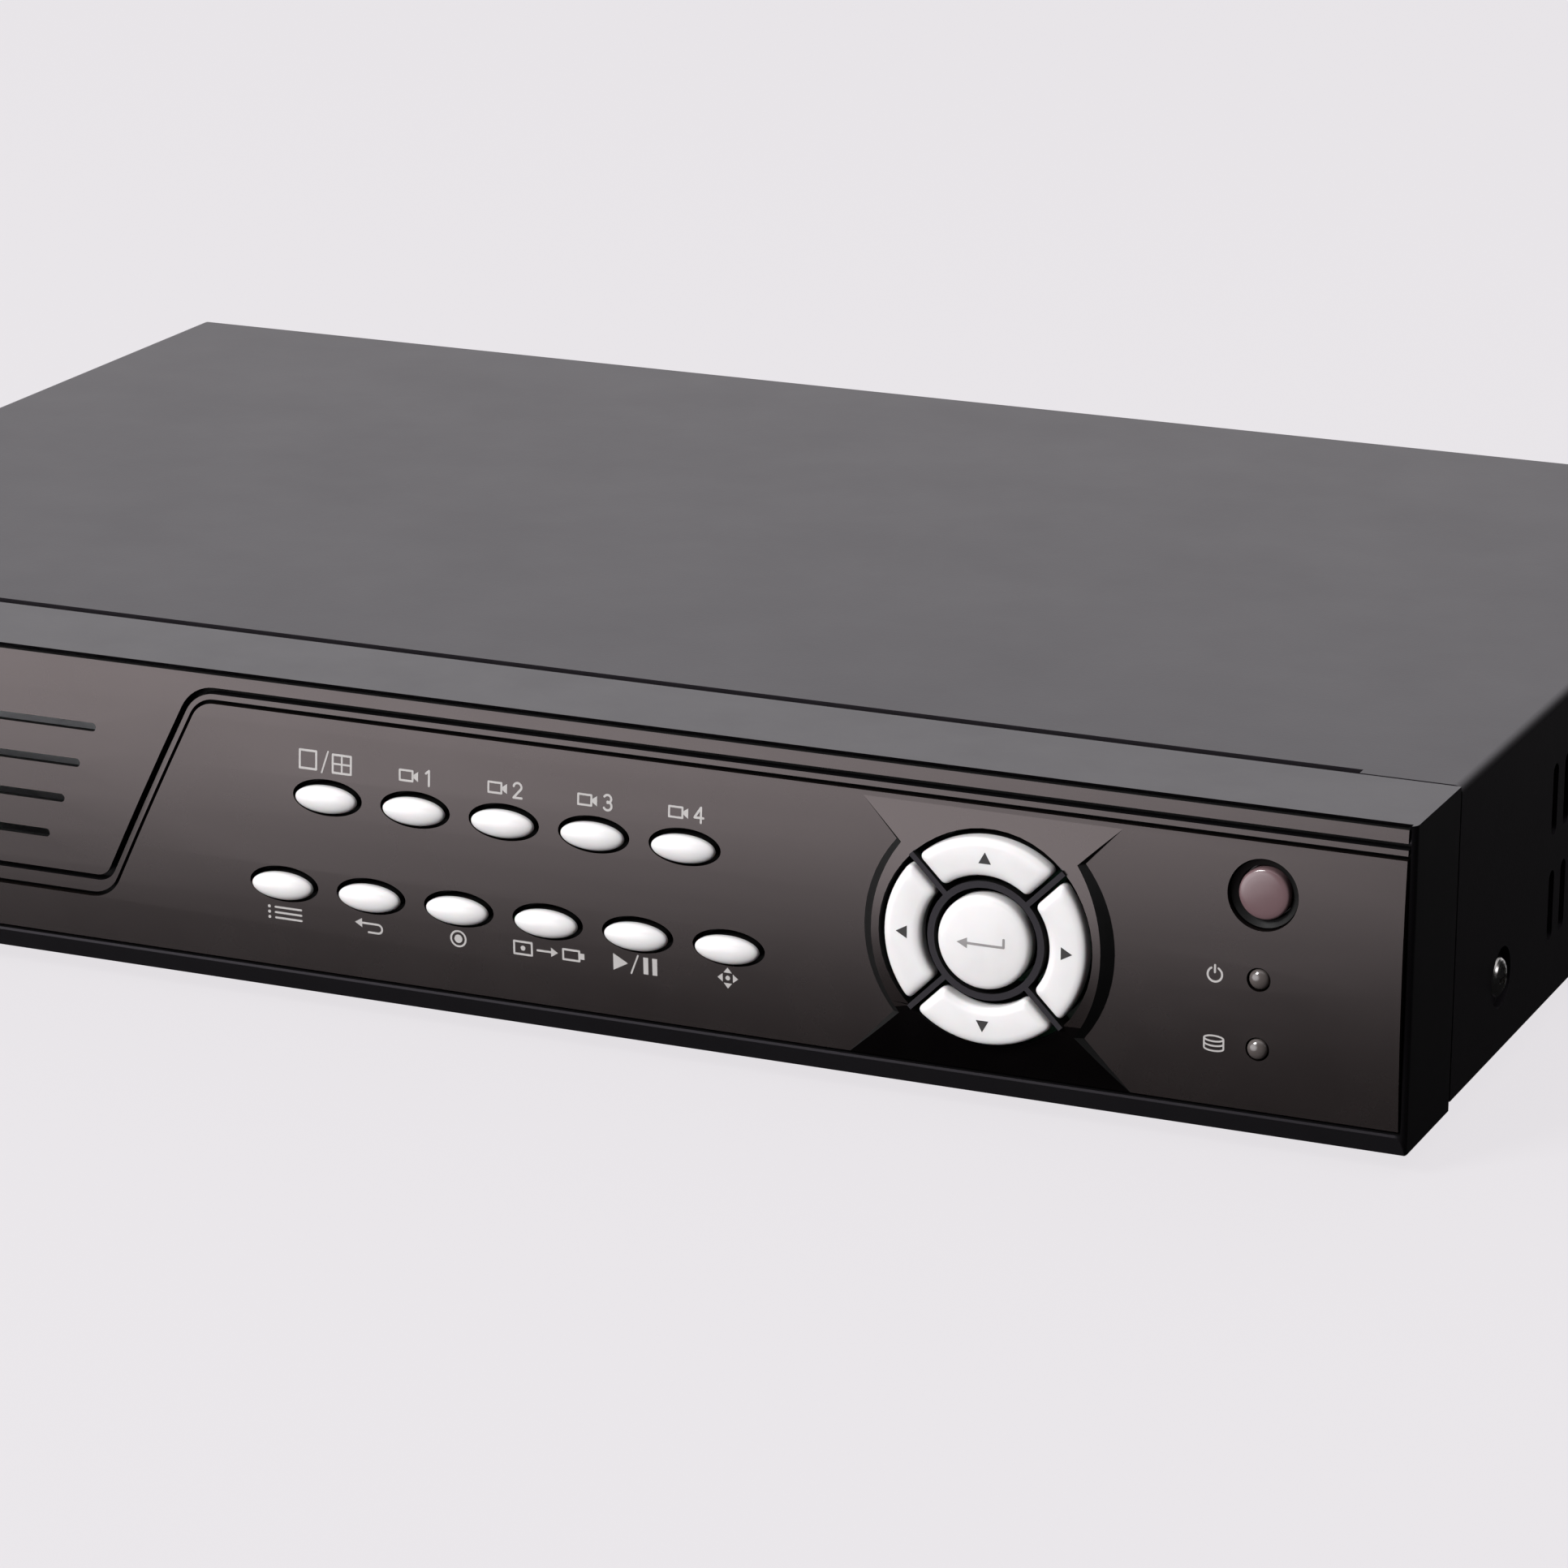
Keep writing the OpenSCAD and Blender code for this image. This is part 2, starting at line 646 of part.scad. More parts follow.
// A quarter of the ring round the pad, pointing at angle a from +X
module direction_key(a) {
    depth = key_root - nav_key_y;
    mid = (nav_r + nav_in_r) / 2;
    half = (nav_r - nav_in_r) / 2;
    color(key_white) placed() {
        intersection() {
            facing_front(nav_x, key_root, nav_z) rotate_extrude($fn = 96) polygon(concat(
                [[nav_in_r, 0]], [[nav_r, 0], [nav_r, depth - 0.9]],
                [for (t = [60:-20:-60]) [mid + half * sin(t) * 1.08, depth - 1 + cos(t)]],
                [[nav_in_r, depth - 0.9]]));
            facing_front(nav_x, key_root + 1, nav_z) rotate(a)
                linear_extrude(depth + 2) quarter(nav_r, rib_w / 2 + 0.5);
        }
        px = nav_x + nav_press_r * cos(a);
        pz = nav_z + nav_press_r * sin(a);
        plunger(px, pz);
    }
}

module enter_key() {
    depth = key_root - enter_y;
    color(key_white) placed() {
        facing_front(nav_x, key_root, nav_z) rotate_extrude($fn = 96) polygon(concat(
            [[0, 0], [enter_r, 0], [enter_r, depth - 1.2], [enter_r - 0.15, depth - 0.8],
             [enter_r - 0.5, depth - 0.5]],
            [for (t = [0.8:-0.2:0]) [(enter_r - 0.3) * t, depth - 0.35 * t * t]]));
        plunger(nav_x, nav_z);
    }
}

module up_key() {
    direction_key(90);
}

module down_key() {
    direction_key(270);
}

module left_key() {
    direction_key(180);
}

module right_key() {
    direction_key(0);
}

module display_key() {
    oval_key(upper_row_x, upper_row_z);
}

module channel_key(i) {
    oval_key(upper_row_x + i * key_pitch, upper_row_z);
}

module lower_key(i) {
    oval_key(lower_row_x + i * key_pitch, lower_row_z);
}

// ---------------------------------------------------------------- key board

// Places of the sixteen switches
SWITCHES = concat(
    [for (i = [0:4]) [upper_row_x + i * key_pitch, upper_row_z]],
    [for (i = [0:5]) [lower_row_x + i * key_pitch, lower_row_z]],
    [for (a = [0:90:270]) [nav_x, nav_z] + nav_press_r * [cos(a), sin(a)]],
    [[nav_x, nav_z]]);

module key_board() {
    color(board_green) placed() difference() {
        block([key_board_x[0], board_y, key_board_z[0]], [key_board_x[1], board_y + board_t, key_board_z[1]]);
        for (p = BOSSES) facing_back(p.x, board_y - 1, p.y) cylinder(r = 1.3, h = 4);
    }
}

module tact_switches() {
    color(plastic_black) placed() for (p = SWITCHES) difference() {
        block([p.x - switch_w / 2, board_y - switch_h, p.y - switch_w / 2],
            [p.x + switch_w / 2, board_y, p.y + switch_w / 2]);
        facing_back(p.x, board_y - switch_h - 1, p.y)
            cylinder(r = plunger_r + 0.25, h = plunger_tip + key_travel + 0.6 - (board_y - switch_h - 1));
    }
}

module ir_receiver() {
    color("#2a2020") placed() {
        block([window_at.x - 3, board_y - 4.2, window_at.y - 3.5], [window_at.x + 3, board_y,
            window_at.y + 3.5]);
        facing_front(window_at.x, board_y - 4.2 + eps, window_at.y) cylinder(r = 2.2, h = 0.9);
    }
}

// ---------------------------------------------------------------- main board

module main_board() {
    color(board_green) placed() difference() {
        block([-main_x, main_y[0], board_low], [main_x, main_y[1], board_top]);
        for (p = STANDOFFS) translate([p.x, p.y, board_low - 1]) cylinder(r = 1.7, h = 4);
    }
}

module board_standoffs() {
    color(brass) placed() for (p = STANDOFFS) translate([p.x, p.y, pan_top]) difference() {
        cylinder(r = 2.9, h = standoff_h, $fn = 6);
        translate([0, 0, 1]) cylinder(r = 1.25, h = standoff_h);
    }
}

module board_screws() {
    color(metal) placed() {
        for (p = BOSSES) facing_back(p.x, board_y + board_t, p.y) screw(2.2, 1.5, 0.85, 6);
        for (p = STANDOFFS) translate([p.x, p.y, board_top]) screw(2.6, 1.8, 1.25, 4.4);
    }
}

module board_chips() {
    color(plastic_black) placed() {
        translate([processor_at.x, processor_at.y, board_top + 1]) cube([27, 27, 2], center = true);
        for (i = [0:3]) block([-24 + i * 13, 150, board_top], [-14 + i * 13, 162, board_top + 1.1]);
    }
}

module heat_sink() {
    sink_w = 34;
    fins = 9;
    fin_t = 1.2;
    color("#3a3d42") placed() translate([processor_at.x, processor_at.y, board_top + 2]) {
        translate([-sink_w / 2, -sink_w / 2, 0]) cube([sink_w, sink_w, 2]);
        for (i = [0:fins - 1])
            translate([-sink_w / 2 + i * (sink_w - fin_t) / (fins - 1), -sink_w / 2, 2 - eps])
                cube([fin_t, sink_w, 8]);
    }
}

module capacitors() {
    color("#23314f") placed() for (x = [-128, -116, -104, 84, 96])
        translate([x, 148, board_top]) {
            cylinder(r = 4, h = 11.5);
            translate([0, 0, 11.5 - eps]) cylinder(r = 3.6, h = 0.4);
        }
}

module coin_cell_holder() {
    color(plastic_black) placed() translate([40, 174, board_top]) difference() {
        cylinder(r = 11.6, h = 4.6);
        translate([0, 0, 1.2]) cylinder(r = 10.2, h = 5);
    }
}

module coin_cell() {
    color(metal) placed() translate([40, 174, board_top + 1.2]) {
        cylinder(r = 10, h = 2.6);
        translate([0, 0, 2.6 - eps]) cylinder(r = 8.8, h = 0.6);
    }
}

// ---------------------------------------------------------------- back connectors

// Steps of the video connector's barrel, from the back wall outwards
neck_r = 6.2;
neck_l = 3.4;
clear_l = 4.6;
shaft_r = 4.4;
bnc_in_r = 4.05;
bnc_floor = 3;
nut_t = 2.4;

module bnc_shells() {
    color(metal) placed() for (x = BNCS) {
        difference() {
            union() {
                facing_back(x, wall_y - 0.1, bnc_z) cylinder(r = shaft_r, h = bnc_reach);
                facing_back(x, back_y + bnc_reach - clear_l, bnc_z) cylinder(r = bnc_r, h = clear_l);
                facing_back(x, back_y + bnc_reach - clear_l - 1.4, bnc_z) rotate([90, 0, 0])
                    cylinder(r = 0.95, h = 11.2, center = true, $fn = 24);
            }
            facing_back(x, back_y + bnc_floor, bnc_z) cylinder(r = bnc_in_r, h = bnc_reach);
        }
        difference() {
            block([x - 7.3, wall_y - 14, board_top], [x + 7.3, wall_y - 0.2, board_top + 16]);
            facing_back(x, wall_y - 5, bnc_z) cylinder(r = 3, h = 6);
        }
    }
}

module bnc_insulators() {
    color("#e9e6dc") placed() for (x = BNCS) facing_back(x, back_y + bnc_floor, bnc_z) difference() {
        union() {
            cylinder(r = bnc_in_r, h = 2);
            cylinder(r = 2.4, h = bnc_reach - bnc_floor - 2);
        }
        translate([0, 0, 1]) cylinder(r = 1.1, h = bnc_reach);
    }
}

module bnc_contacts() {
    color(brass) placed() for (x = BNCS) facing_back(x, back_y + bnc_floor + 1, bnc_z) difference() {
        cylinder(r = 1.1, h = bnc_reach - bnc_floor - 3.6, $fn = 32);
        translate([0, 0, 2]) cylinder(r = 0.7, h = bnc_reach, $fn = 32);
    }
}

module bnc_nuts() {
    color(metal) placed() for (x = BNCS) difference() {
        union() {
            facing_back(x, back_y, bnc_z) cylinder(r = 8.1, h = nut_t, $fn = 6);
            facing_back(x, wall_y - 0.1, bnc_z) cylinder(r = neck_r, h = neck_l + sheet_t);
        }
        facing_back(x, wall_y - 1, bnc_z) cylinder(r = shaft_r + 0.02, h = bnc_reach);
    }
}

rca_neck_r = 3.8;

module audio_housing() {
    color(plastic_black) placed() difference() {
        union() {
            block([9.3, wall_y - 13, board_top], [22.7, wall_y - 0.2, 36]);
            block([-4.7, wall_y - 13, board_top], [8.7, wall_y - 0.2, 36]);
            block([-18.7, wall_y - 13, board_top], [-5.3, wall_y - 0.2, 22]);
            for (p = RCAS) facing_back(p.x, wall_y - 1, p.y) cylinder(r = rca_r + 0.6, h = 2.6);
        }
        for (p = RCAS) facing_back(p.x, wall_y - 5, p.y) cylinder(r = rca_neck_r + 0.02, h = 8);
    }
}

module audio_sockets() {
    color(metal) placed() for (p = RCAS) facing_back(p.x, wall_y - 5, p.y) difference() {
        union() {
            cylinder(r = rca_neck_r, h = 8);
            translate([0, 0, 7]) cylinder(r = rca_r, h = 8);
        }
        translate([0, 0, 3]) cylinder(r = 1.6, h = 15, $fn = 32);
        translate([0, 0, 13.6]) cylinder(r1 = 1.6, r2 = 2.9, h = 1.5);
    }
}

module vga_port() {
    pin_pitch = 2.3;
    color("#25479a") placed() {
        block([vga_x - 15.4, wall_y - 10, board_top], [vga_x + 15.4, back_y + 0.6, board_top + 12.5]);
    }
    color(metal) placed() {
        difference() {
            upright(back_y + 0.6 - eps, back_y + 6) translate([vga_x, board_top + 6.3])
                polygon([[-8.1, 4.1], [8.1, 4.1], [7, -4.1], [-7, -4.1]]);
            for (row = [-1:1]) for (i = [-2:2])
                facing_back(vga_x + i * pin_pitch + row * 0.6, back_y + 2, board_top + 6.3 + row * 2)
                    cylinder(r = 0.55, h = 6, $fn = 16);
        }
        for (s = [-1, 1]) facing_back(vga_x + s * 12.5, back_y + 0.6 - eps, board_top + 6.3) difference() {
            cylinder(r = 2.6, h = 5, $fn = 6);
            translate([0, 0, 1]) cylinder(r = 1.4, h = 6);
        }
    }
}

module hdmi_port() {
    z = board_top;
    color(metal) placed() difference() {
        block([hdmi_x - 7.5, wall_y - 11, z], [hdmi_x + 7.5, back_y + 1, z + 6]);
        upright(back_y - 8, back_y + 2) translate([hdmi_x, z])
            polygon([[-7, 5.4], [7, 5.4], [7, 2.3], [5.4, 0.7], [-5.4, 0.7], [-7, 2.3]]);
    }
    color(plastic_black) placed()
        block([hdmi_x - 5.4, back_y - 8 - eps, z + 2.6], [hdmi_x + 5.4, back_y - 0.5, z + 3.6]);
}

module usb_ports() {
    color(metal) placed() difference() {
        block([usb_x - 6.6, wall_y - 16, board_top], [usb_x + 6.6, back_y + 1, board_top + 15.6]);
        for (z = [1, 8.9]) block([usb_x - 6.1, back_y - 9, board_top + z], [usb_x + 6.1, back_y + 2,
            board_top + z + 5.2]);
    }
    color("#e8e6df") placed() for (z = [3.3, 11.2])
        block([usb_x - 5.6, back_y - 9 - eps, board_top + z], [usb_x + 5.6, back_y - 0.4, board_top + z +
            1.9]);
}

module lan_port() {
    color(metal) placed() difference() {
        block([lan_x - 8, wall_y - 15, board_top], [lan_x + 8, back_y + 1, board_top + 13.5]);
        block([lan_x - 5.9, back_y - 11, board_top + 1.6], [lan_x + 5.9, back_y + 2, board_top + 8.6]);
        block([lan_x - 3, back_y - 11, board_top + 8.5], [lan_x + 3, back_y + 2, board_top + 11]);
    }
}

module power_inlet() {
    depth = 9.5;
    color(plastic_black) placed() {
        difference() {
            union() {
                block([inlet_x - 4.5, wall_y - 12, board_top], [inlet_x + 4.5, wall_y - 0.2, board_top + 11]);
                facing_back(inlet_x, wall_y - 1, inlet_z) cylinder(r = 4.6, h = 3);
            }
            facing_back(inlet_x, back_y + 1 - depth, inlet_z) cylinder(r = 3.2, h = depth + 1);
        }
    }
    color(metal) placed() facing_back(inlet_x, back_y + 1 - depth - eps, inlet_z) cylinder(r = 1.05,
        h = depth - 1, $fn = 32);
}

module rs485_terminal() {
    color("#2f8a4a") placed() difference() {
        block([rs485_x - 5.7, wall_y - 9, board_top], [rs485_x + 5.7, back_y + 4, board_top + 9]);
        for (s = [-1, 0, 1]) {
            block([rs485_x + s * 3.5 - 1.1, back_y - 3, board_top + 1.4], [rs485_x + s * 3.5 + 1.1,
                back_y + 5, board_top + 4]);
            translate([rs485_x + s * 3.5, back_y + 1.6, board_top + 6]) cylinder(r = 1.3, h = 4, $fn = 24);
        }
    }
}

// ---------------------------------------------------------------- drive

module hard_drive() {
    color("#9a9da3") placed() difference() {
        block([drive_x, drive_y, drive_z + 1.6], [drive_x + drive_l, drive_y + drive_w, drive_z + drive_h]);
        // Rim left round a slightly sunk lid
        block([drive_x + 3, drive_y + 3, drive_z + drive_h - 0.6], [drive_x + drive_l - 12, drive_y +
            drive_w - 3, drive_z + drive_h + 1]);
        translate([drive_x + 54, drive_y + drive_w / 2, drive_z + drive_h - 1]) cylinder(r = 14, h = 3);
        for (p = DRIVE_SCREWS) translate([p.x, p.y, drive_z]) cylinder(r = screw_r + eps, h = 6);
        block([drive_x + drive_l - 5, drive_y + 14, drive_z + 1], [drive_x + drive_l + 1, drive_y + 60,
            drive_z + 8]);
    }
    color("#9a9da3") placed() for (p = DRIVE_SCREWS) translate([p.x, p.y, drive_z]) difference() {
        cylinder(r = 3, h = 1.6 + eps);
        translate([0, 0, -1]) cylinder(r = screw_r + eps, h = 4);
    }
}

module drive_circuit() {
    color("#20463a") placed()
        block([drive_x + 66, drive_y + 12, drive_z + 0.2], [drive_x + drive_l - 6, drive_y +
            drive_w - 12, drive_z + 1.5]);
}

module drive_screws() {
    color(metal) placed() for (p = DRIVE_SCREWS) translate([p.x, p.y, pan_lift]) rotate([180, 0, 0])
        screw(3, 1.8, screw_r, 8);
}

// ---------------------------------------------------------------- cables inside

plug_x = drive_x + drive_l - 4.5;
plug_z = drive_z + 4.5;

module drive_cables() {
    data_y = drive_y + 20;
    power_y = drive_y + 42;
    color("#b03030") placed() {
        block([plug_x, data_y - 6, plug_z - 2.4], [plug_x + 14, data_y + 6, plug_z + 2.4]);
        tube(sweep_between([plug_x + 14 - eps, data_y, plug_z], [24, 0, 0], [72, 140, board_top + 11],
            [0, 22, 0]), 7, 2.4);
        block([67, 139.9, board_top], [77, 147, board_top + 13]);
    }
    color(plastic_black) placed() {
        block([plug_x, power_y - 12, plug_z - 2.8], [plug_x + 12, power_y + 12, plug_z + 2.8]);
        for (i = [0:3]) tube(sweep_between([plug_x + 12 - eps, power_y - 6 + i * 4, plug_z], [12, 0, 0],
            [52 + i * 3, 140, board_top + 6], [0, 20, 0]), 1.7, 1.7);
        block([50, 139.9, board_top], [63, 147, board_top + 9]);
    }
}

module key_cable() {
    from = [112, board_y + board_t + 4.6, 22];
    color("#c9cbd0") placed() {
        block([104, board_y + board_t, 19.5], [120, board_y + board_t + 4.6 + eps, 24.5]);
        tube(concat([from], sweep_between(from + [0, 9, 0], [0, 40, 0], [112, 140, board_top + 6], [0,
            30, 0])), 14, 1.4);
        block([104, 139.9, board_top], [120, 145, board_top + 9]);
    }
}

module fan_lead() {
    color("#b03030") placed() {
        for (s = [-1, 1]) tube(sweep_between([fan_x + fan_d + 1.6, fan_y + 10 + s, 10], [4, 8, -2],
            [-125 + s * 1.2, 136, board_top + 5], [0, 10, 0]), 1.3, 1.3);
        block([-129, 135.9, board_top], [-121, 141, board_top + 7]);
        block([fan_x + fan_d, fan_y + 7.5, 8.4], [fan_x + fan_d + 1.6 + eps, fan_y + 12.5, 11.6]);
    }
}

// ---------------------------------------------------------------- fan

hub_r = 8;
bearing_r = 1;
base_t = 2.2;

module fan_frame() {
    color(plastic_black) placed() translate([fan_x, fan_y, fan_z]) rotate([0, 90, 0]) {
        difference() {
            translate([-fan_w / 2, -fan_w / 2, 0]) cube([fan_w, fan_w, fan_d]);
            translate([0, 0, -1]) cylinder(r = fan_bore_r, h = fan_d + 2);
            for (y = [-16, 16]) for (z = [-16, 16]) translate([z, y, -1]) cylinder(r = 1.7, h = fan_d + 2);
        }
        difference() {
            union() {
                translate([0, 0, fan_d - base_t]) cylinder(r = hub_r, h = base_t);
                for (a = [40:120:280]) rotate(a) translate([hub_r - 1, -1.2, fan_d - base_t + 0.2])
                    cube([fan_bore_r - hub_r + 1.4, 2.4, base_t - 0.5]);
            }
            translate([0, 0, fan_d - base_t - 1]) cylinder(r = bearing_r + 0.05, h = base_t + 0.4);
        }
    }
}

module fan_rotor() {
    hub_h = fan_d - base_t - 0.8;
    tip_r = fan_bore_r - 0.7;
    color("#2b2b30") placed() translate([fan_x, fan_y, fan_z]) rotate([0, 90, 0]) {
        translate([0, 0, 0.4]) cylinder(r = hub_r, h = hub_h);
        translate([0, 0, hub_h]) cylinder(r = bearing_r, h = base_t);
        intersection() {
            for (i = [0:fan_blades - 1]) rotate(i * 360 / fan_blades)
                translate([tip_r / 2 + 2, 0, 0.4 + hub_h / 2]) rotate([38, 0, 0]) cube([tip_r, 1, 9.4],
                    center = true);
            translate([0, 0, 0.6]) cylinder(r = tip_r, h = hub_h - 0.4);
        }
    }
}

module fan_screws() {
    color(metal) placed() for (p = FAN_SCREWS) translate([-flange_x, p.x, p.y]) rotate([0, -90, 0])
        screw(2.6, 1.5, 1.6, 9);
}

// ---------------------------------------------------------------- feet and cover screws

module rubber_feet() {
    color(plastic_black) placed() for (p = FEET) translate([p.x, p.y, pan_lift - foot_h]) {
        rotate_extrude() polygon([[0, 0], [foot_r - 1, 0], [foot_r - 0.3, 0.3], [foot_r, 1], [foot_r,
            foot_h], [0, foot_h]]);
        translate([0, 0, foot_h - eps]) cylinder(r = 1.9, h = 1.6);
    }
}

module cover_screws() {
    color(metal) placed() {
        for (s = [-1, 1]) for (p = SIDE_SCREWS)
            translate([s * (half_w - dimple_h), p.x, p.y]) rotate([0, s * 90, 0]) screw(3, 1.8, screw_r, 5);
        for (x = BACK_SCREWS) facing_back(x, body_d, back_screw_z) screw(3, 1.8, screw_r, 4);
    }
}

// ---------------------------------------------------------------- assembly

top_cover();
chassis_pan();
back_panel();
port_shield();
front_bezel();
vent_panel();
control_panel();
ir_window();
power_lamp();
drive_lamp();
display_key();
channel_key(1);  // channel_1_key
channel_key(2);  // channel_2_key
channel_key(3);  // channel_3_key
channel_key(4);  // channel_4_key
lower_key(0);  // menu_key
lower_key(1);  // escape_key
lower_key(2);  // record_key
lower_key(3);  // backup_key
lower_key(4);  // play_pause_key
lower_key(5);  // camera_move_key
up_key();
down_key();
left_key();
right_key();
enter_key();
key_board();
tact_switches();
ir_receiver();
main_board();
board_standoffs();
board_screws();
board_chips();
heat_sink();
capacitors();
coin_cell();
coin_cell_holder();
bnc_shells();
bnc_insulators();
bnc_contacts();
bnc_nuts();
audio_sockets();
audio_housing();
vga_port();
hdmi_port();
usb_ports();
lan_port();
power_inlet();
rs485_terminal();
hard_drive();
drive_circuit();
drive_screws();
drive_cables();
key_cable();
fan_lead();
fan_frame();
fan_rotor();
fan_screws();
rubber_feet();
cover_screws();
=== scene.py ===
import json
import math

import bmesh
import bpy
from mathutils import Matrix, Vector
from mathutils.bvhtree import BVHTree
from mathutils.geometry import delaunay_2d_cdt


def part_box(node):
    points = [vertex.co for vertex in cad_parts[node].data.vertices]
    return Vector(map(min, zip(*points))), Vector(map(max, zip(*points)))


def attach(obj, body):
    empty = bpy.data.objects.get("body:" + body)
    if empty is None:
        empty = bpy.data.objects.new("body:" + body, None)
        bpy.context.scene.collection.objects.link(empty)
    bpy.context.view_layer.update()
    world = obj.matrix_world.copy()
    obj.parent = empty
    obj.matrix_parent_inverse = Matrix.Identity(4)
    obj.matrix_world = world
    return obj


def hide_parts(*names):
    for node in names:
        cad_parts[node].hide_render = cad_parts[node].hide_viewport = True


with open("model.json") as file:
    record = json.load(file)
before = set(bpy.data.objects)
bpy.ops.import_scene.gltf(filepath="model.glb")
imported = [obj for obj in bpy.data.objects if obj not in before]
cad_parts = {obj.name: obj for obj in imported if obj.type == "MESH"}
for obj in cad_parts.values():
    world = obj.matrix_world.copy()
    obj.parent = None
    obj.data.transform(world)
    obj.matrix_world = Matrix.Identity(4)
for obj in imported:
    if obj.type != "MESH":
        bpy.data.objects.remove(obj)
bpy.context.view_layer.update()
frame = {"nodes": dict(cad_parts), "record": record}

MM = 0.001
NODES = frame["nodes"]
SLOT_OF = {s["node"]: s["material_slot"] for s in frame["record"]["subparts"]}

# ---------------------------------------------------------------- material helpers


# Sockets of the mix node, whose colour ends share their names with its other ends
MIX_FACTOR, MIX_A, MIX_B, MIX_COLOUR = 0, 6, 7, 2
# The stretch that most of a noise's values lie in
NOISE_LOW, NOISE_HIGH = 0.3, 0.7


class Graph:
    """A short way to write a shader's nodes."""

    def __init__(self, tree):
        self.tree = tree

    def add(self, kind, **settings):
        node = self.tree.nodes.new(kind)
        for key, value in settings.items():
            setattr(node, key, value)
        return node

    def put(self, socket, value):
        if isinstance(value, bpy.types.NodeSocket):
            self.tree.links.new(value, socket)
        else:
            socket.default_value = value

    def place(self, scale):
        coord = self.add("ShaderNodeTexCoord")
        mapping = self.add("ShaderNodeMapping")
        self.put(mapping.inputs["Vector"], coord.outputs["Object"])
        mapping.inputs["Scale"].default_value = scale
        return mapping.outputs["Vector"]

    def noise(self, size, detail, rough=0.5, stretch=(1, 1, 1)):
        node = self.add("ShaderNodeTexNoise")
        self.put(node.inputs["Vector"], self.place(stretch))
        node.inputs["Scale"].default_value = 1 / size
        node.inputs["Detail"].default_value = detail
        node.inputs["Roughness"].default_value = rough
        return node.outputs["Fac"]

    def remap(self, value, low, high):
        """Spreads a noise's values from low to high."""
        node = self.add("ShaderNodeMapRange")
        self.put(node.inputs["Value"], value)
        node.inputs["From Min"].default_value = NOISE_LOW
        node.inputs["From Max"].default_value = NOISE_HIGH
        node.inputs["To Min"].default_value = low
        node.inputs["To Max"].default_value = high
        return node.outputs["Result"]

    def blend(self, factor, a, b):
        node = self.add("ShaderNodeMix", data_type="RGBA")
        self.put(node.inputs[MIX_FACTOR], factor)
        self.put(node.inputs[MIX_A], a)
        self.put(node.inputs[MIX_B], b)
        return node.outputs[MIX_COLOUR]

    def bump(self, height, distance, below=None):
        node = self.add("ShaderNodeBump")
        self.put(node.inputs["Height"], height)
        node.inputs["Distance"].default_value = distance
        node.inputs["Strength"].default_value = 1.0
        if below is not None:
            self.put(node.inputs["Normal"], below)
        return node.outputs["Normal"]


def rgba(colour, gain=1.0):
    return tuple(min(1.0, c * gain) for c in colour) + (1.0,)


PLASTIC_IOR = 1.5
SUBSURFACE_DEPTH = 0.001
FINE_DETAIL, SLOW_DETAIL, PATCH_DETAIL = 2, 3, 4
PATCH_SHARE, PATCH_ROUGHNESS = 0.4, 0.6


def surface(name, colour, rough, *, metal=0.0, vary=0.12, vary_size=0.03, rough_vary=0.06, grain=0.0006,
            depth=0.00001, second=None, stretch=(1, 1, 1), coat=0.0, coat_rough=0.1, spec=0.5,
            tint=(1, 1, 1), subsurface=0.0):
    """A material with slow changes of colour and gloss and a fine grain. Sizes are in metres.

    vary and rough_vary are how far colour and roughness swing, over patches of vary_size. grain and
    depth are the relief's size and height, and second is the (size, depth) of a coarser relief."""
    material = bpy.data.materials.new(name)
    material.use_nodes = True
    g = Graph(material.node_tree)
    shader = material.node_tree.nodes["Principled BSDF"]
    slow = g.remap(g.noise(vary_size, SLOW_DETAIL), 0, 1)
    g.put(shader.inputs["Base Color"], g.blend(slow, rgba(colour, 1 - vary), rgba(colour, 1 + vary)))
    patches = g.noise(vary_size * PATCH_SHARE, PATCH_DETAIL, PATCH_ROUGHNESS)
    low, high = max(0.02, rough - rough_vary), min(1, rough + rough_vary)
    g.put(shader.inputs["Roughness"], g.remap(patches, low, high))
    normal = g.bump(g.noise(grain, FINE_DETAIL, stretch=stretch), depth)
    if second:
        normal = g.bump(g.noise(second[0], FINE_DETAIL), second[1], below=normal)
    g.put(shader.inputs["Normal"], normal)
    values = {
        "Metallic": metal, "IOR": PLASTIC_IOR, "Specular IOR Level": spec, "Specular Tint": rgba(tint),
        "Coat Weight": coat, "Coat Roughness": coat_rough,
        "Subsurface Weight": subsurface, "Subsurface Scale": SUBSURFACE_DEPTH,
    }
    for socket, value in values.items():
        shader.inputs[socket].default_value = value
    return material


# ---------------------------------------------------------------- materials

COAT_TINT = (0.94, 0.89, 1.0)
FACE_TINT = (1.0, 0.88, 0.87)
COVER = surface("powder_coat", (0.0065, 0.0052, 0.0065), 0.42, vary=0.04, vary_size=0.05, rough_vary=0.012,
                grain=0.00045, depth=0.000012, second=(0.0021, 0.000006), tint=COAT_TINT)
BEZEL = surface("bezel_plastic", (0.006, 0.0055, 0.0062), 0.36, vary=0.05, vary_size=0.03, rough_vary=0.015,
                grain=0.0003, depth=0.000005, tint=COAT_TINT)
FACE = surface("face_lacquer", (0.006, 0.0044, 0.0041), 0.27, vary=0.05, vary_size=0.04, rough_vary=0.012,
               grain=0.0008, depth=0.0000012, spec=1.0, tint=FACE_TINT)
KEY = surface("key_pearl", (0.84, 0.825, 0.825), 0.24, vary=0.02, vary_size=0.004, rough_vary=0.03,
              grain=0.0008, depth=0.000001, coat=0.5, coat_rough=0.08, subsurface=0.1)
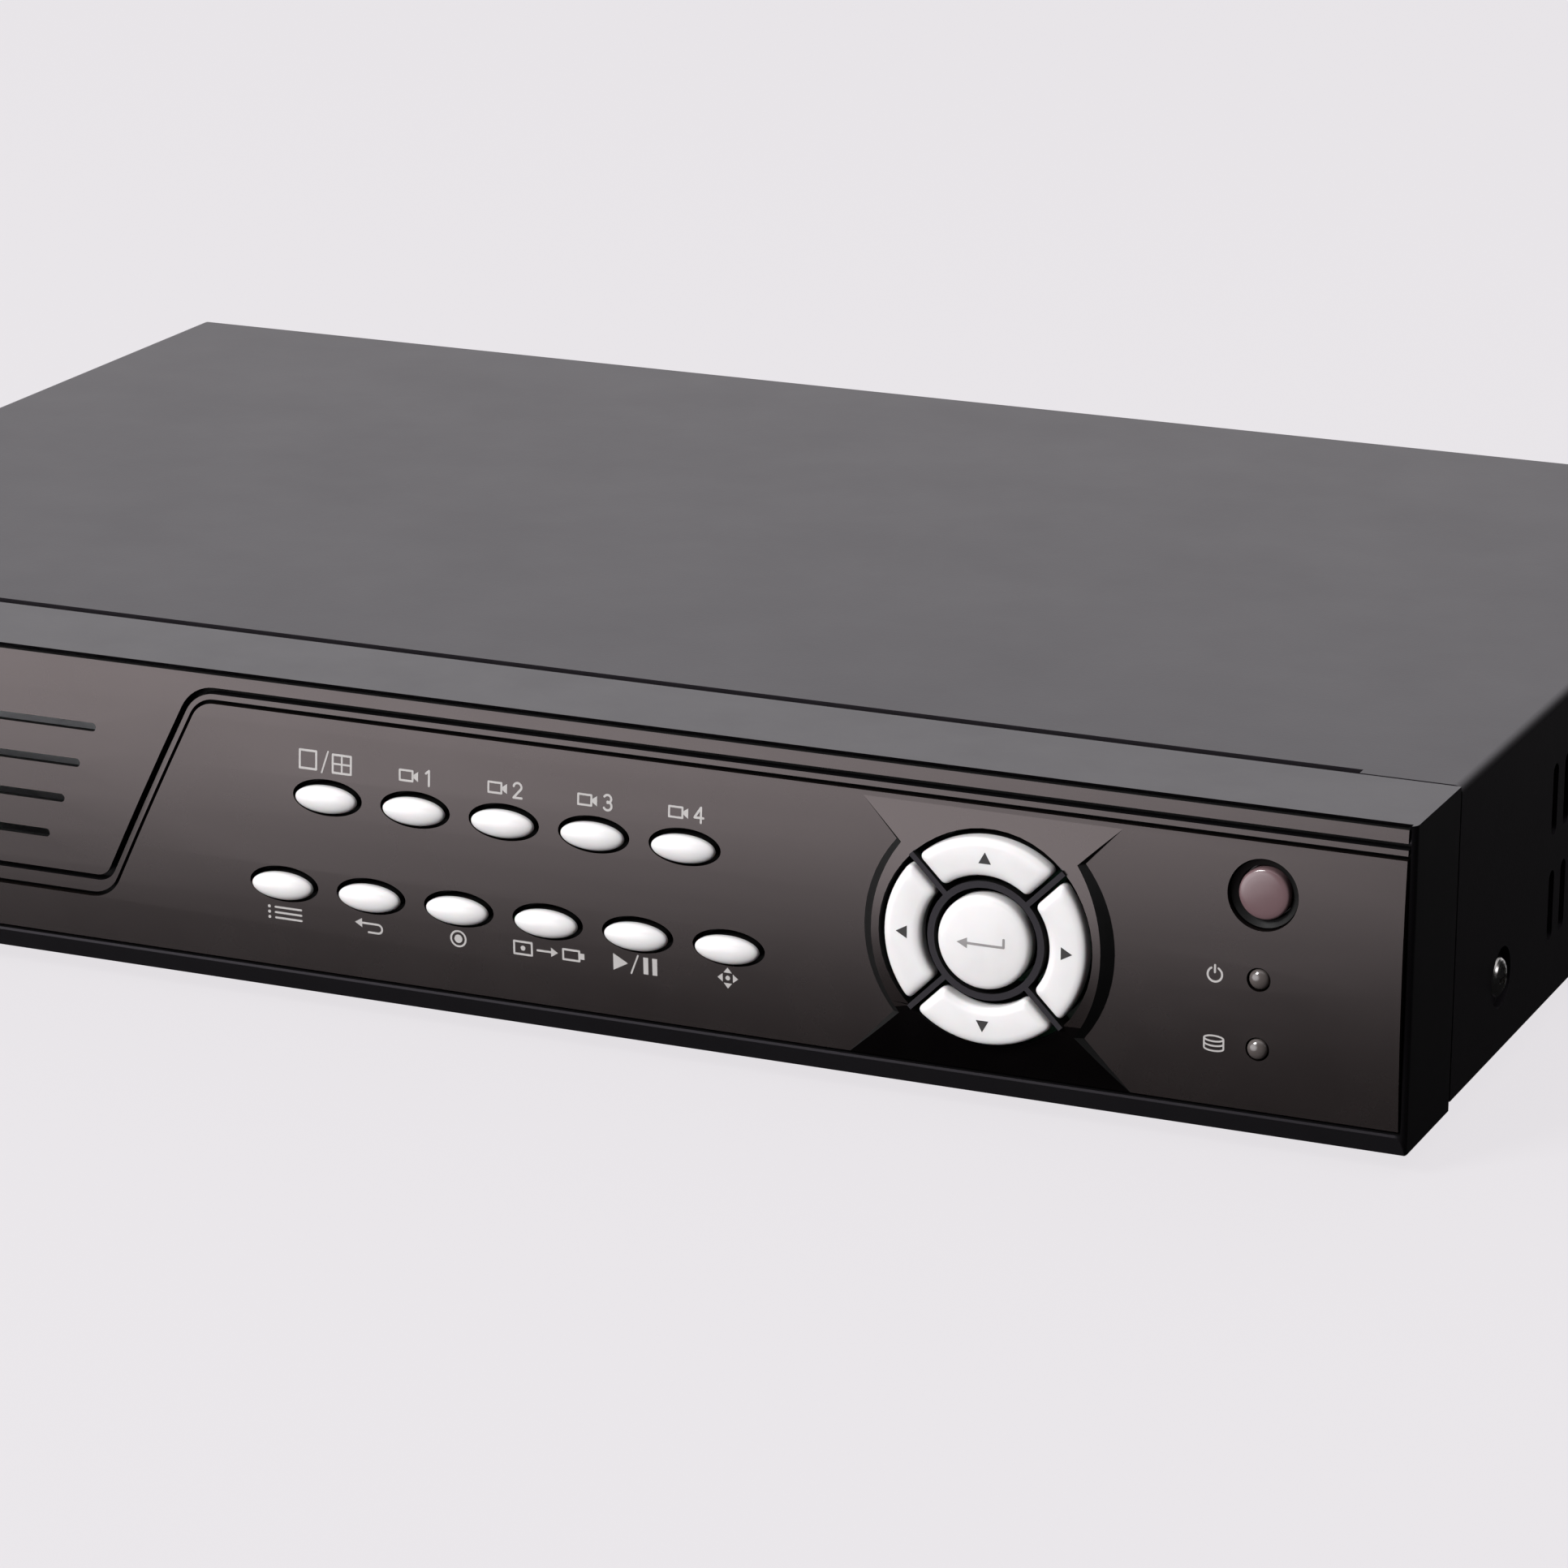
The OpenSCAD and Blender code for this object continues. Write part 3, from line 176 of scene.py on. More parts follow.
WINDOW = surface("smoked_window", (0.162, 0.101, 0.108), 0.2, vary=0.06, vary_size=0.004, rough_vary=0.02,
                 grain=0.001, depth=0.000001, coat=0.5, coat_rough=0.05)
LAMP = surface("lamp_lens", (0.1, 0.086, 0.082), 0.18, vary=0.08, vary_size=0.002, grain=0.0005,
               depth=0.000002, coat=1.0, coat_rough=0.03)
PRINT = surface("screen_print", (0.5, 0.48, 0.47), 0.5, vary=0.05, vary_size=0.002, grain=0.0002,
                depth=0.000002)
DARK_PRINT = surface("dark_print", (0.03, 0.028, 0.028), 0.45, vary=0.1, vary_size=0.002, grain=0.0002,
                     depth=0.000002)
GREY_PRINT = surface("grey_print", (0.3, 0.285, 0.285), 0.45, vary=0.05, vary_size=0.002, grain=0.0002,
                     depth=0.000002)
PAN = surface("pan_coat", (0.013, 0.0125, 0.0135), 0.5, vary_size=0.05, rough_vary=0.04, grain=0.0005,
              depth=0.000014, second=(0.0024, 0.000008))
NICKEL = surface("bright_nickel", (0.66, 0.65, 0.63), 0.24, metal=1.0, vary=0.06, vary_size=0.003,
                 rough_vary=0.05, grain=0.0003, depth=0.000003)
PLATED = surface("plated_shell", (0.66, 0.65, 0.63), 0.27, metal=1.0, vary=0.05, vary_size=0.004,
                 rough_vary=0.04, grain=0.0004, depth=0.000002, stretch=(1, 8, 1))
BOARD = surface("solder_mask", (0.02, 0.1, 0.05), 0.3, vary=0.25, vary_size=0.006, grain=0.0012,
                depth=0.00001, coat=0.3)
CHIP = surface("chip_moulding", (0.016, 0.016, 0.017), 0.6, vary_size=0.004, grain=0.0002, depth=0.000006)
SLEEVE = surface("capacitor_sleeve", (0.03, 0.05, 0.14), 0.35, vary_size=0.004, grain=0.0004, depth=0.000003)
SINK = surface("anodised_sink", (0.07, 0.072, 0.08), 0.4, metal=0.85, vary_size=0.01, grain=0.0003,
               depth=0.000005, stretch=(6, 1, 1))
CELL = surface("cell_steel", (0.62, 0.62, 0.61), 0.22, metal=1.0, vary_size=0.004, grain=0.0002,
               depth=0.000003, stretch=(8, 1, 1))
BRASS = surface("turned_brass", (0.6, 0.42, 0.16), 0.3, metal=1.0, vary_size=0.003, grain=0.00015,
                depth=0.000003, stretch=(1, 1, 8))
INSULATOR = surface("ptfe_insulator", (0.78, 0.76, 0.7), 0.42, vary=0.04, vary_size=0.003, grain=0.0004,
                    depth=0.000003, subsurface=0.2)
# Dull black for the receiver's ring; also painted shade: black on the key carriers and plungers in the gaps
# round the caps, and on the front's slopes, recesses and slot insides
BLACK_AND_PAINTED_SHADOW = surface("key_carrier", (0.006, 0.006, 0.006), 0.6, vary_size=0.004, grain=0.0003, depth=0.000004,
                   spec=0.2)
# Painted shade: a near-black copy of the face lacquer, laid on the shield's lower end
PAINTED_SHADE = surface("painted_shade_lacquer", (0.0015, 0.0012, 0.0013), 0.25, vary=0.05, grain=0.0008,
                depth=0.0000012, spec=0.15, tint=FACE_TINT)
BLACK = surface("moulded_black", (0.014, 0.014, 0.014), 0.46, vary_size=0.004, grain=0.0003, depth=0.000008)
BLUE = surface("moulded_blue", (0.02, 0.06, 0.3), 0.42, vary_size=0.004, grain=0.0003, depth=0.000006)
GREEN = surface("moulded_green", (0.03, 0.24, 0.07), 0.42, vary_size=0.004, grain=0.0003, depth=0.000006)
CAST = surface("cast_case", (0.4, 0.41, 0.42), 0.38, metal=0.9, vary_size=0.02, grain=0.0006, depth=0.00001)
CABLE = surface("cable_sleeve", (0.3, 0.025, 0.02), 0.42, vary_size=0.01, grain=0.0004, depth=0.000004)
RUBBER = surface("foot_rubber", (0.018, 0.018, 0.018), 0.75, vary_size=0.006, grain=0.0004, depth=0.00002)

BY_SLOT = {
    "cover_coat": COVER, "frame_plastic": BEZEL, "face_plastic": FACE, "key_plastic": KEY,
    "window_plastic": WINDOW, "lamp_plastic": LAMP, "pan_steel": PAN, "screw_steel": NICKEL,
    "board_laminate": BOARD, "chip_black": CHIP, "capacitor_sleeve": SLEEVE, "sink_metal": SINK,
    "cell_metal": CELL, "standoff_brass": BRASS, "connector_metal": PLATED, "insulator_white": INSULATOR,
    "port_black": BLACK, "port_blue": BLUE, "terminal_green": GREEN, "drive_metal": CAST,
    "cable_sleeve": CABLE, "foot_rubber": RUBBER,
}
for name, node in NODES.items():
    node.data.materials.clear()
    node.data.materials.append(BY_SLOT[SLOT_OF[name]])

# ---------------------------------------------------------------- mesh helpers


SHARP_ANGLE = math.radians(50)


def piece(name, verts, faces, material, body, slot, smooth=True, replaces=()):
    """A mesh piece that rides a body. verts are in metres, in the frame that the CAD model is in."""
    mesh = bpy.data.meshes.new(name)
    mesh.from_pydata([tuple(v) for v in verts], [], faces)
    mesh.materials.append(material)
    bm = bmesh.new()
    bm.from_mesh(mesh)
    bmesh.ops.recalc_face_normals(bm, faces=bm.faces)
    bm.to_mesh(mesh)
    bm.free()
    for polygon in mesh.polygons:
        polygon.use_smooth = smooth
    obj = bpy.data.objects.new(name, mesh)
    bpy.context.scene.collection.objects.link(obj)
    if smooth:
        obj.modifiers.new("sharp", "EDGE_SPLIT").split_angle = SHARP_ANGLE
    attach(obj, body)
    if replaces:
        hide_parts(*replaces)
    return obj


def band(k, m, n):
    """The quads between ring k and ring m, where each ring has n points."""
    return [(k * n + i, k * n + (i + 1) % n, m * n + (i + 1) % n, m * n + i) for i in range(n)]


def loft(rings):
    """A closed solid through rings of equal length, capped at both ends."""
    n, last = len(rings[0]), len(rings) - 1
    verts = [v for ring in rings for v in ring]
    faces = [quad for k in range(last) for quad in band(k, k + 1, n)]
    faces.append(tuple(range(n))[::-1])
    faces.append(tuple(last * n + i for i in range(n)))
    return verts, faces


def ellipse(x, z, y, a, b, n=72):
    turns = [2 * math.pi * i / n for i in range(n)]
    return [(x + a * math.cos(t), y, z + b * math.sin(t)) for t in turns]


def centre_of(node):
    low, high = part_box(node)
    return (low + high) / 2


# Case coordinates: millimetres right, back and up from the middle of the chin's front bottom edge
ENTER_FRONT = -3.2
ORIGIN = Vector((0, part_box("enter_key")[0].y - ENTER_FRONT * MM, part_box("front_bezel")[0].z))


def at(x, y, z):
    return ORIGIN + Vector((x, y, z)) * MM


def case_of(point):
    return (point - ORIGIN) / MM


def paint(node, material, test):
    """Gives a second material to the faces of a CAD node for which test(centre, normal) holds."""
    mesh = NODES[node].data
    mesh.materials.append(material)
    for polygon in mesh.polygons:
        if test(case_of(polygon.center), polygon.normal):
            polygon.material_index = len(mesh.materials) - 1


def turned(name, centre, profile, material, body, slot, replaces=(), n=96):
    """A piece turned round an axis along Y. profile is (y, radius) from back to front."""
    rings = [[at(*p) for p in ellipse(centre.x, centre.z, y, r, r, n)] for y, r in profile]
    return piece(name, *loft(rings), material, body, slot, replaces=replaces)


def ring_turned(name, centre, section, material, body, slot, n=96):
    """A closed ring turned round an axis along Y. section is a closed list of (y, radius)."""
    rings = [[at(*p) for p in ellipse(centre.x, centre.z, y, r, r, n)] for y, r in section]
    verts = [v for ring in rings for v in ring]
    faces = [quad for k in range(len(rings)) for quad in band(k, (k + 1) % len(rings), n)]
    return piece(name, verts, faces, material, body, slot)


def tree_of(obj):
    mesh = obj.data
    corners = [v.co.copy() for v in mesh.vertices]
    return BVHTree.FromPolygons(corners, [tuple(p.vertices) for p in mesh.polygons])


def polar(r, degrees):
    return r * math.cos(math.radians(degrees)), r * math.sin(math.radians(degrees))


def rotated(points, degrees):
    c, s = polar(1, degrees)
    return [(x * c - z * s, x * s + z * c) for x, z in points]


# ---------------------------------------------------------------- second materials of CAD nodes

# The back connectors: plated shells, plastic tongues and the inlet's pin
BACK_Y = 205.0
VGA_HALF_W, VGA_PROUD, VGA_FLANGE = 9.0, 0.5, 1
TONGUE_HALF_W, USB_DEPTH, USB_LIP, HDMI_DEPTH, HDMI_LOW = 5.7, 8.9, 0.5, 7.9, 11
INLET_Z, PIN_R = 14.3, 1.2
ON_EDGE = 0.5
PORT_X = {n: case_of(centre_of(n)).x for n in ("vga_port", "usb_ports", "hdmi_port", "power_inlet")}


def beside(c, node):
    """How far a point is to the side of a port's middle."""
    return abs(c.x - PORT_X[node])


def on_vga_shell(c, n):
    outside = beside(c, "vga_port") > VGA_HALF_W or abs(n.y) < ON_EDGE or c.y < BACK_Y + VGA_FLANGE
    return c.y > BACK_Y + VGA_PROUD and outside


def on_usb_tongue(c, n):
    return BACK_Y - USB_DEPTH < c.y < BACK_Y + USB_LIP and beside(c, "usb_ports") < TONGUE_HALF_W


def on_hdmi_tongue(c, n):
    return BACK_Y - HDMI_DEPTH < c.y < BACK_Y and beside(c, "hdmi_port") < TONGUE_HALF_W and c.z > HDMI_LOW


def on_inlet_pin(c, n):
    return math.hypot(beside(c, "power_inlet"), c.z - INLET_Z) < PIN_R


paint("vga_port", PLATED, on_vga_shell)
paint("usb_ports", INSULATOR, on_usb_tongue)
paint("hdmi_port", BLACK, on_hdmi_tongue)
paint("power_inlet", NICKEL, on_inlet_pin)

# The front: painted shade on the shield's slopes and lower end, on the walls round the ribs and ring between
# the direction keys, on the ledge and pan behind the face and in the air slots; dull ribs and ring between
# the direction keys; and the bead in the groove, which is as glossy as the plates
PAD = case_of(centre_of("enter_key"))
PAD_HOLE_R, SHIELD_INNER_R, SHIELD_HALF_W = 16.3, 15.8, 25
RIB_FRONT, SHIELD_FRONT, FACE_BACK = -2.1, -2.2, 0.4
FLARE, FLARE_OFF, LOWER_END = math.radians(41), 2.3, 9
FACES_FRONT, SLOPES_FRONT, SLOPES_BACK = -0.9, -0.93, 0.3
BEAD_BACK, BEAD_LOW, BEAD_HIGH = 1.0, 5, 46
LEDGE_BACK, PAN_BACK, FRAME_HALF_W = 12, 30, 148.5


def from_pad(c):
    return math.hypot(c.x - PAD.x, c.z - PAD.z)


def on_rib(c, n):
    return c.y > RIB_FRONT and from_pad(c) < PAD_HOLE_R and n.y < FACES_FRONT


def beside_rib(c, n):
    return c.y > SHIELD_FRONT and from_pad(c) < PAD_HOLE_R and n.y >= FACES_FRONT


def on_slope(c, n):
    near_shield = from_pad(c) > PAD_HOLE_R and abs(c.x - PAD.x) < SHIELD_HALF_W
    return c.y < FACE_BACK and SLOPES_FRONT < n.y < SLOPES_BACK and near_shield


def on_lower_end(c, n):
    """On the shield's front, in the wedge below the pad between the two flare lines, where shade is painted.
    """
    across, down = abs(c.x - PAD.x), PAD.z - c.z
    in_wedge = down > LOWER_END and across * math.cos(FLARE) - down * math.sin(FLARE) < FLARE_OFF
    return c.y < FACE_BACK and n.y < FACES_FRONT and from_pad(c) > SHIELD_INNER_R and in_wedge


def on_ledge(c, n):
    return BEAD_BACK < c.y < LEDGE_BACK and n.y < FACES_FRONT and abs(c.x) < FRAME_HALF_W


def on_bead(c, n):
    between = BEAD_LOW < c.z < BEAD_HIGH and abs(c.x) < FRAME_HALF_W
    return c.y < BEAD_BACK and n.y < FACES_FRONT and between


paint("control_panel", BEZEL, on_rib)
# Painted shade: the walls round the ribs and ring in the pad's hole, in dull black
paint("control_panel", BLACK_AND_PAINTED_SHADOW, beside_rib)
# Painted shade: the shield's slopes, in dull black
paint("control_panel", BLACK_AND_PAINTED_SHADOW, on_slope)
# Painted shade on the shield's lower end, in near-black lacquer
paint("control_panel", PAINTED_SHADE, on_lower_end)
# Painted shade: the bezel's ledge behind the face, in dull black
paint("front_bezel", BLACK_AND_PAINTED_SHADOW, on_ledge)
paint("front_bezel", FACE, on_bead)
# Painted shade: the pan's front faces behind the face, in dull black
paint("chassis_pan", BLACK_AND_PAINTED_SHADOW, lambda c, n: c.y < PAN_BACK and n.y < FACES_FRONT)
# Painted shade: the insides and edges of the air slots, in dull black
paint("vent_panel", BLACK_AND_PAINTED_SHADOW, lambda c, n: n.y > -ON_EDGE)

# ---------------------------------------------------------------- camera

CAMERA_AT = (377.4, -748.0, 292.8)
CAMERA_YAW, CAMERA_TILT, CAMERA_ROLL = 23.236, 72.894, 0.335
SENSOR_W, LENS = 36, 137.417
NEAR, FAR = 0.01, 60
camera_data = bpy.data.cameras.new("camera")
camera_data.sensor_width = SENSOR_W
camera_data.lens = LENS
camera_data.clip_start = NEAR
camera_data.clip_end = FAR
camera = bpy.data.objects.new("camera", camera_data)
bpy.context.scene.collection.objects.link(camera)
view = Matrix.Translation(at(*CAMERA_AT))
for degrees, axis in ((CAMERA_YAW, "Z"), (CAMERA_TILT, "X"), (CAMERA_ROLL, "Z")):
    view = view @ Matrix.Rotation(math.radians(degrees), 4, axis)
camera.matrix_world = view
bpy.context.scene.camera = camera

# ---------------------------------------------------------------- keys

FLANGE_W, FLANGE_T, KEY_ROOT = 1.6, 0.8, 2.9
PLUNGER_R, PLUNGER_TIP = 1.7, 6.2
NAV_R, NAV_IN_R, NAV_GAP = 15.35, 9.7, 0.9
NAV_ROUND, NAV_ARC_STEPS, NAV_CORNER_STEPS = 0.9, 24, 5
NAV_PRESS_R = 12.2
ENTER_R = 7.0
CAP_BACK, CAP_WALL, CAP_STEPS, CAP_FULLNESS = -0.35, -0.75, 14, 0.85
CHAMFER, SEAM, LIP = 0.1, 0.02, 0.06
CAP_GAP, CAP_INSET, NECK_INSET, TIP_SHARE = 0.01, 0.1, 0.08, 0.02
ROUND_KEYS = ("up_key", "down_key", "left_key", "right_key", "enter_key")
OVAL_KEYS = [n for n in NODES if n.endswith("_key") and n not in ROUND_KEYS]
KEY_FRONTS = {}


def oval_key(node):
    """A puffed white oval cap on a carrier with the flange and the plunger, which is black as painted shade
    in the gap round the cap.
    """
    low, high = case_of(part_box(node)[0]), case_of(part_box(node)[1])
    c = (low + high) / 2
    half_w, half_h = (high.x - low.x) / 2 - FLANGE_W, (high.z - low.z) / 2 - FLANGE_W
    wide_w, wide_h = half_w + FLANGE_W, half_h + FLANGE_W
    step = KEY_ROOT - FLANGE_T
    carrier = [
        (PLUNGER_TIP, PLUNGER_R - CHAMFER, PLUNGER_R - CHAMFER),
        (PLUNGER_TIP - CHAMFER, PLUNGER_R, PLUNGER_R),
        (KEY_ROOT + SEAM, PLUNGER_R, PLUNGER_R),
        (KEY_ROOT, wide_w - CHAMFER, wide_h - CHAMFER),
        (KEY_ROOT - CHAMFER, wide_w, wide_h),
        (step, wide_w, wide_h),
        (step - SEAM, half_w, half_h),
        (CAP_BACK, half_w - NECK_INSET, half_h - NECK_INSET),
    ]
    verts, faces = loft([[at(*p) for p in ellipse(c.x, c.z, y, a, b)] for y, a, b in carrier])
    piece(node + "_carrier", verts, faces, BLACK_AND_PAINTED_SHADOW, node, "frame_plastic")
    cap = [(CAP_BACK - CAP_GAP, half_w - CAP_INSET, half_h - CAP_INSET), (CAP_BACK - LIP, half_w, half_h)]
    for k in range(CAP_STEPS):
        t = math.radians(90 * k / CAP_STEPS)
        shrink = math.cos(t) ** CAP_FULLNESS
        cap.append((CAP_WALL + (low.y - CAP_WALL) * math.sin(t), half_w * shrink, half_h * shrink))
    cap.append((low.y, half_w * TIP_SHARE, half_h * TIP_SHARE))
    verts, faces = loft([[at(*p) for p in ellipse(c.x, c.z, y, a, b)] for y, a, b in cap])
    return piece(node + "_cap", verts, faces, KEY, node, "key_plastic", replaces=(node,))


def curve(start, pull, end, steps):
    """The points between start and end on a curve that is pulled towards a third point."""
    out = []
    for i in range(1, steps):
        t = i / steps
        weights = ((1 - t) ** 2, 2 * t * (1 - t), t ** 2)
        out.append(tuple(sum(w * p[j] for w, p in zip(weights, (start, pull, end))) for j in (0, 1)))
    return out


def quarter_outline(angle, inset):
    """Outline of a quarter ring round the pad, its corners rounded, inset millimetres inside its edge."""
    side = NAV_GAP + inset

    def edge_angle(r):
        return 45 - math.degrees(math.asin(side / r))

    points = []
    for r, way in ((NAV_R - inset, 1), (NAV_IN_R + inset, -1)):
        tip_r = r - way * NAV_ROUND
        tip_angle, corner_angle = way * edge_angle(tip_r), way * edge_angle(r)
        arc_angle = tip_angle - way * math.degrees(NAV_ROUND / r)
        first, last = polar(tip_r, tip_angle), polar(tip_r, -tip_angle)
        rim = [polar(r, arc_angle * (1 - 2 * i / NAV_ARC_STEPS)) for i in range(NAV_ARC_STEPS + 1)]
        points += [first] + curve(first, polar(r, corner_angle), rim[0], NAV_CORNER_STEPS) + rim
        points += curve(rim[-1], polar(r, -corner_angle), last, NAV_CORNER_STEPS) + [last]
    return [(PAD.x + x, PAD.z + z) for x, z in rotated(points, angle)]


def direction_key(node, angle):
    """A quarter-ring cap with rounded edges and a slight crown, on its carrier, which is black as painted
    shade in the gaps round the cap.
    """
    front = case_of(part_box(node)[0]).y
    carrier = [(KEY_ROOT, 0.12), (KEY_ROOT - CHAMFER, 0), (CAP_BACK, 0.02)]
    cap = [(CAP_BACK - CAP_GAP, NECK_INSET), (CAP_BACK - LIP, 0), (front + 0.85, 0), (front + 0.55, 0.07),
           (front + 0.32, 0.22), (front + 0.17, 0.45), (front + 0.07, 0.75), (front + 0.02, 1.05),
           (front, 1.3)]
    base, top = [loft([[at(x, y, z) for x, z in quarter_outline(angle, inset)] for y, inset in section])
                 for section in (carrier, cap)]
    piece(node + "_carrier", *base, BLACK_AND_PAINTED_SHADOW, node, "frame_plastic")
    made = piece(node + "_cap", *top, KEY, node, "key_plastic", replaces=(node,))
    across, up = polar(NAV_PRESS_R, angle)
    add_plunger(node, PAD.x + across, PAD.z + up)
    return made


# The plunger is black as painted shade behind the key
def add_plunger(node, x, z):
    profile = ((KEY_ROOT - 0.05, PLUNGER_R), (PLUNGER_TIP - CHAMFER, PLUNGER_R),
               (PLUNGER_TIP, PLUNGER_R - CHAMFER))
    verts, faces = loft([[at(*p) for p in ellipse(x, z, y, r, r, 32)] for y, r in profile])
    return piece(node + "_plunger", verts, faces, BLACK_AND_PAINTED_SHADOW, node, "frame_plastic")


for node in OVAL_KEYS:
    KEY_FRONTS[node] = oval_key(node)
for node, angle in (("right_key", 0), ("up_key", 90), ("left_key", 180), ("down_key", 270)):
    KEY_FRONTS[node] = direction_key(node, angle)

# The middle key's rounded edge, as pairs of (behind its front, inside its rim), then its crown
ENTER_EDGE = ((1.0, 0), (0.7, 0.07), (0.48, 0.22), (0.33, 0.45), (0.24, 0.75))
ENTER_CROWN, ENTER_EDGE_W = ENTER_EDGE[-1]
CROWN_RS = (5.4, 4.4, 3.3, 2.2, 1.1, 0.05)
enter_cap = [(CAP_BACK - CAP_GAP, ENTER_R - NECK_INSET), (CAP_BACK - LIP, ENTER_R)]
enter_cap += [(ENTER_FRONT + y, ENTER_R - inside) for y, inside in ENTER_EDGE]
enter_cap += [(ENTER_FRONT + ENTER_CROWN * (r / (ENTER_R - ENTER_EDGE_W)) ** 2, r) for r in CROWN_RS]
# The middle key's carrier is black as painted shade in the gap round the cap
enter_carrier = [(KEY_ROOT, ENTER_R - 0.15), (KEY_ROOT - 0.15, ENTER_R), (CAP_BACK, ENTER_R - 0.02)]
KEY_FRONTS["enter_key"] = turned("enter_key_cap", PAD, enter_cap, KEY, "enter_key", "key_plastic",
                                 replaces=("enter_key",))
turned("enter_key_carrier", PAD, enter_carrier, BLACK_AND_PAINTED_SHADOW, "enter_key", "frame_plastic")
add_plunger("enter_key", PAD.x, PAD.z)

# ---------------------------------------------------------------- window and lamps

WINDOW_AT = case_of(centre_of("ir_window"))
# The lens from its flange to the middle of its shallow dome, and the ring's closed section
LENS_PROFILE = ((3.4, 5.6), (2.4, 5.65), (2.38, 3.75), (0.4, 3.75), (0.1, 3.7), (-0.08, 3.58), (-0.18, 3.38),
                (-0.26, 2.8), (-0.31, 1.9), (-0.34, 1.0), (-0.35, 0.05))
RING_SECTION = ((2.3, 3.85), (2.3, 5.1), (0.45, 5.1), (0.3, 4.95), (0.9, 4.0))
turned("receiver_lens", WINDOW_AT, LENS_PROFILE, WINDOW, "chassis", "window_plastic", replaces=("ir_window",))
ring_turned("receiver_ring", WINDOW_AT, RING_SECTION, BLACK_AND_PAINTED_SHADOW, "chassis", "frame_plastic")

LAMP_R, LAMP_WALL, LAMP_RISE = 1.5, -0.2, 0.9
LAMP_FLANGE_R, LAMP_FLANGE_T, LAMP_EDGE = 2.0, 0.8, 0.05
DOME_END, DOME_STEP, DOME_TIP_R = 81, 9, 0.02
for node in ("power_lamp", "drive_lamp"):
    back = case_of(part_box(node)[1]).y
    flange = [(back, LAMP_FLANGE_R - LAMP_EDGE), (back - LAMP_FLANGE_T, LAMP_FLANGE_R),
              (back - LAMP_FLANGE_T - SEAM, LAMP_R)]
    arc_points = [polar(1, degrees) for degrees in range(0, DOME_END + 1, DOME_STEP)]
    dome = [(LAMP_WALL - LAMP_RISE * up, LAMP_R * across) for across, up in arc_points]
    profile = flange + dome + [(LAMP_WALL - LAMP_RISE, DOME_TIP_R)]
    turned(node + "_lens", case_of(centre_of(node)), profile, LAMP, "chassis", "lamp_plastic",
           replaces=(node,), n=48)

# ---------------------------------------------------------------- printed marks

PRINT_RAISE = 0.03
PRINT_SINK = 0.01
LINE = 0.24


def disc(x, z, r, n=14):
    turns = [2 * math.pi * i / n for i in range(n)]
    return [(x + r * math.cos(t), z + r * math.sin(t)) for t in turns]


def stroke(points, w=LINE, closed=False):
    """Convex pieces that cover a line of width w."""
    shapes = [disc(x, z, w / 2) for x, z in points]
    pairs = list(zip(points, points[1:])) + ([(points[-1], points[0])] if closed else [])
    for (x0, z0), (x1, z1) in pairs:
        length = math.hypot(x1 - x0, z1 - z0)
        if length > 1e-6:
            nx, nz = -(z1 - z0) / length * w / 2, (x1 - x0) / length * w / 2
            shapes.append([(x0 - nx, z0 - nz), (x1 - nx, z1 - nz), (x1 + nx, z1 + nz), (x0 + nx, z0 + nz)])
    return shapes


def arc(x, z, r, a0, a1, rz=None, n=18):
    rz = r if rz is None else rz
    angles = [math.radians(a0 + (a1 - a0) * i / n) for i in range(n + 1)]
    return [(x + r * math.cos(a), z + rz * math.sin(a)) for a in angles]


def rect(x, z, w, h):
    return [(x - w / 2, z - h / 2), (x + w / 2, z - h / 2), (x + w / 2, z + h / 2), (x - w / 2, z + h / 2)]


def box_line(x, z, w, h, line=LINE):
    return stroke(rect(x, z, w, h), line, closed=True)


def moved(shapes, x, z, scale=1.0):
    return [[(x + px * scale, z + pz * scale) for px, pz in shape] for shape in shapes]


def digit(n):
    """A plain stroked digit, 1.6 tall and 1 wide, centred."""
    lines = {
        1: [[(-0.3, 0.5), (0.05, 0.8), (0.05, -0.8)]],
        2: [arc(0, 0.35, 0.45, 170, -20, n=10) + [(-0.45, -0.8), (0.48, -0.8)]],
        3: [arc(-0.02, 0.4, 0.42, 150, -90, n=10), arc(-0.02, -0.36, 0.46, 90, -150, n=10)],
        4: [[(0.22, -0.8), (0.22, 0.8), (-0.5, -0.3), (0.5, -0.3)]],
    }[n]
    return [shape for line in lines for shape in stroke(line)]


def dense(points, step=0.5):
    """The same line with extra points, so that it can follow a curved surface."""
    out = []
    for (x0, z0), (x1, z1) in zip(points, points[1:]):
        n = max(1, round(math.hypot(x1 - x0, z1 - z0) / step))
        out += [(x0 + (x1 - x0) * i / n, z0 + (z1 - z0) * i / n) for i in range(n)]
    return out + [points[-1]]


def camera_icon():
    return box_line(-0.25, 0, 1.5, 1.1, 0.22) + [[(0.62, -0.18), (1.15, -0.55), (1.15, 0.55), (0.62, 0.18)]]


def display_icon():
    slash = stroke([(-0.55, -1.2), (0.25, 1.3)], 0.2)
    cross = stroke([(0.9, 0), (3.1, 0)], 0.22) + stroke([(2.0, -1), (2.0, 1)], 0.22)
    return box_line(-2.3, 0.1, 2.1, 2.1, 0.26) + slash + box_line(2.0, 0, 2.3, 2.1, 0.26) + cross


def menu_icon():
    shapes = []
    for row in (-0.65, 0, 0.65):
        shapes += stroke([(-1.1, row), (2.2, row)]) + [disc(-1.9, row, 0.19)]
    return shapes


def escape_icon():
    hook = arc(0.9, -0.28, 0.53, 90, -90, n=8) + [(-0.3, -0.81)]
    return stroke([(-1.5, 0.25), (0.9, 0.25)]) + stroke(hook) + [[(-2.0, 0.25), (-1.1, -0.3), (-1.1, 0.8)]]


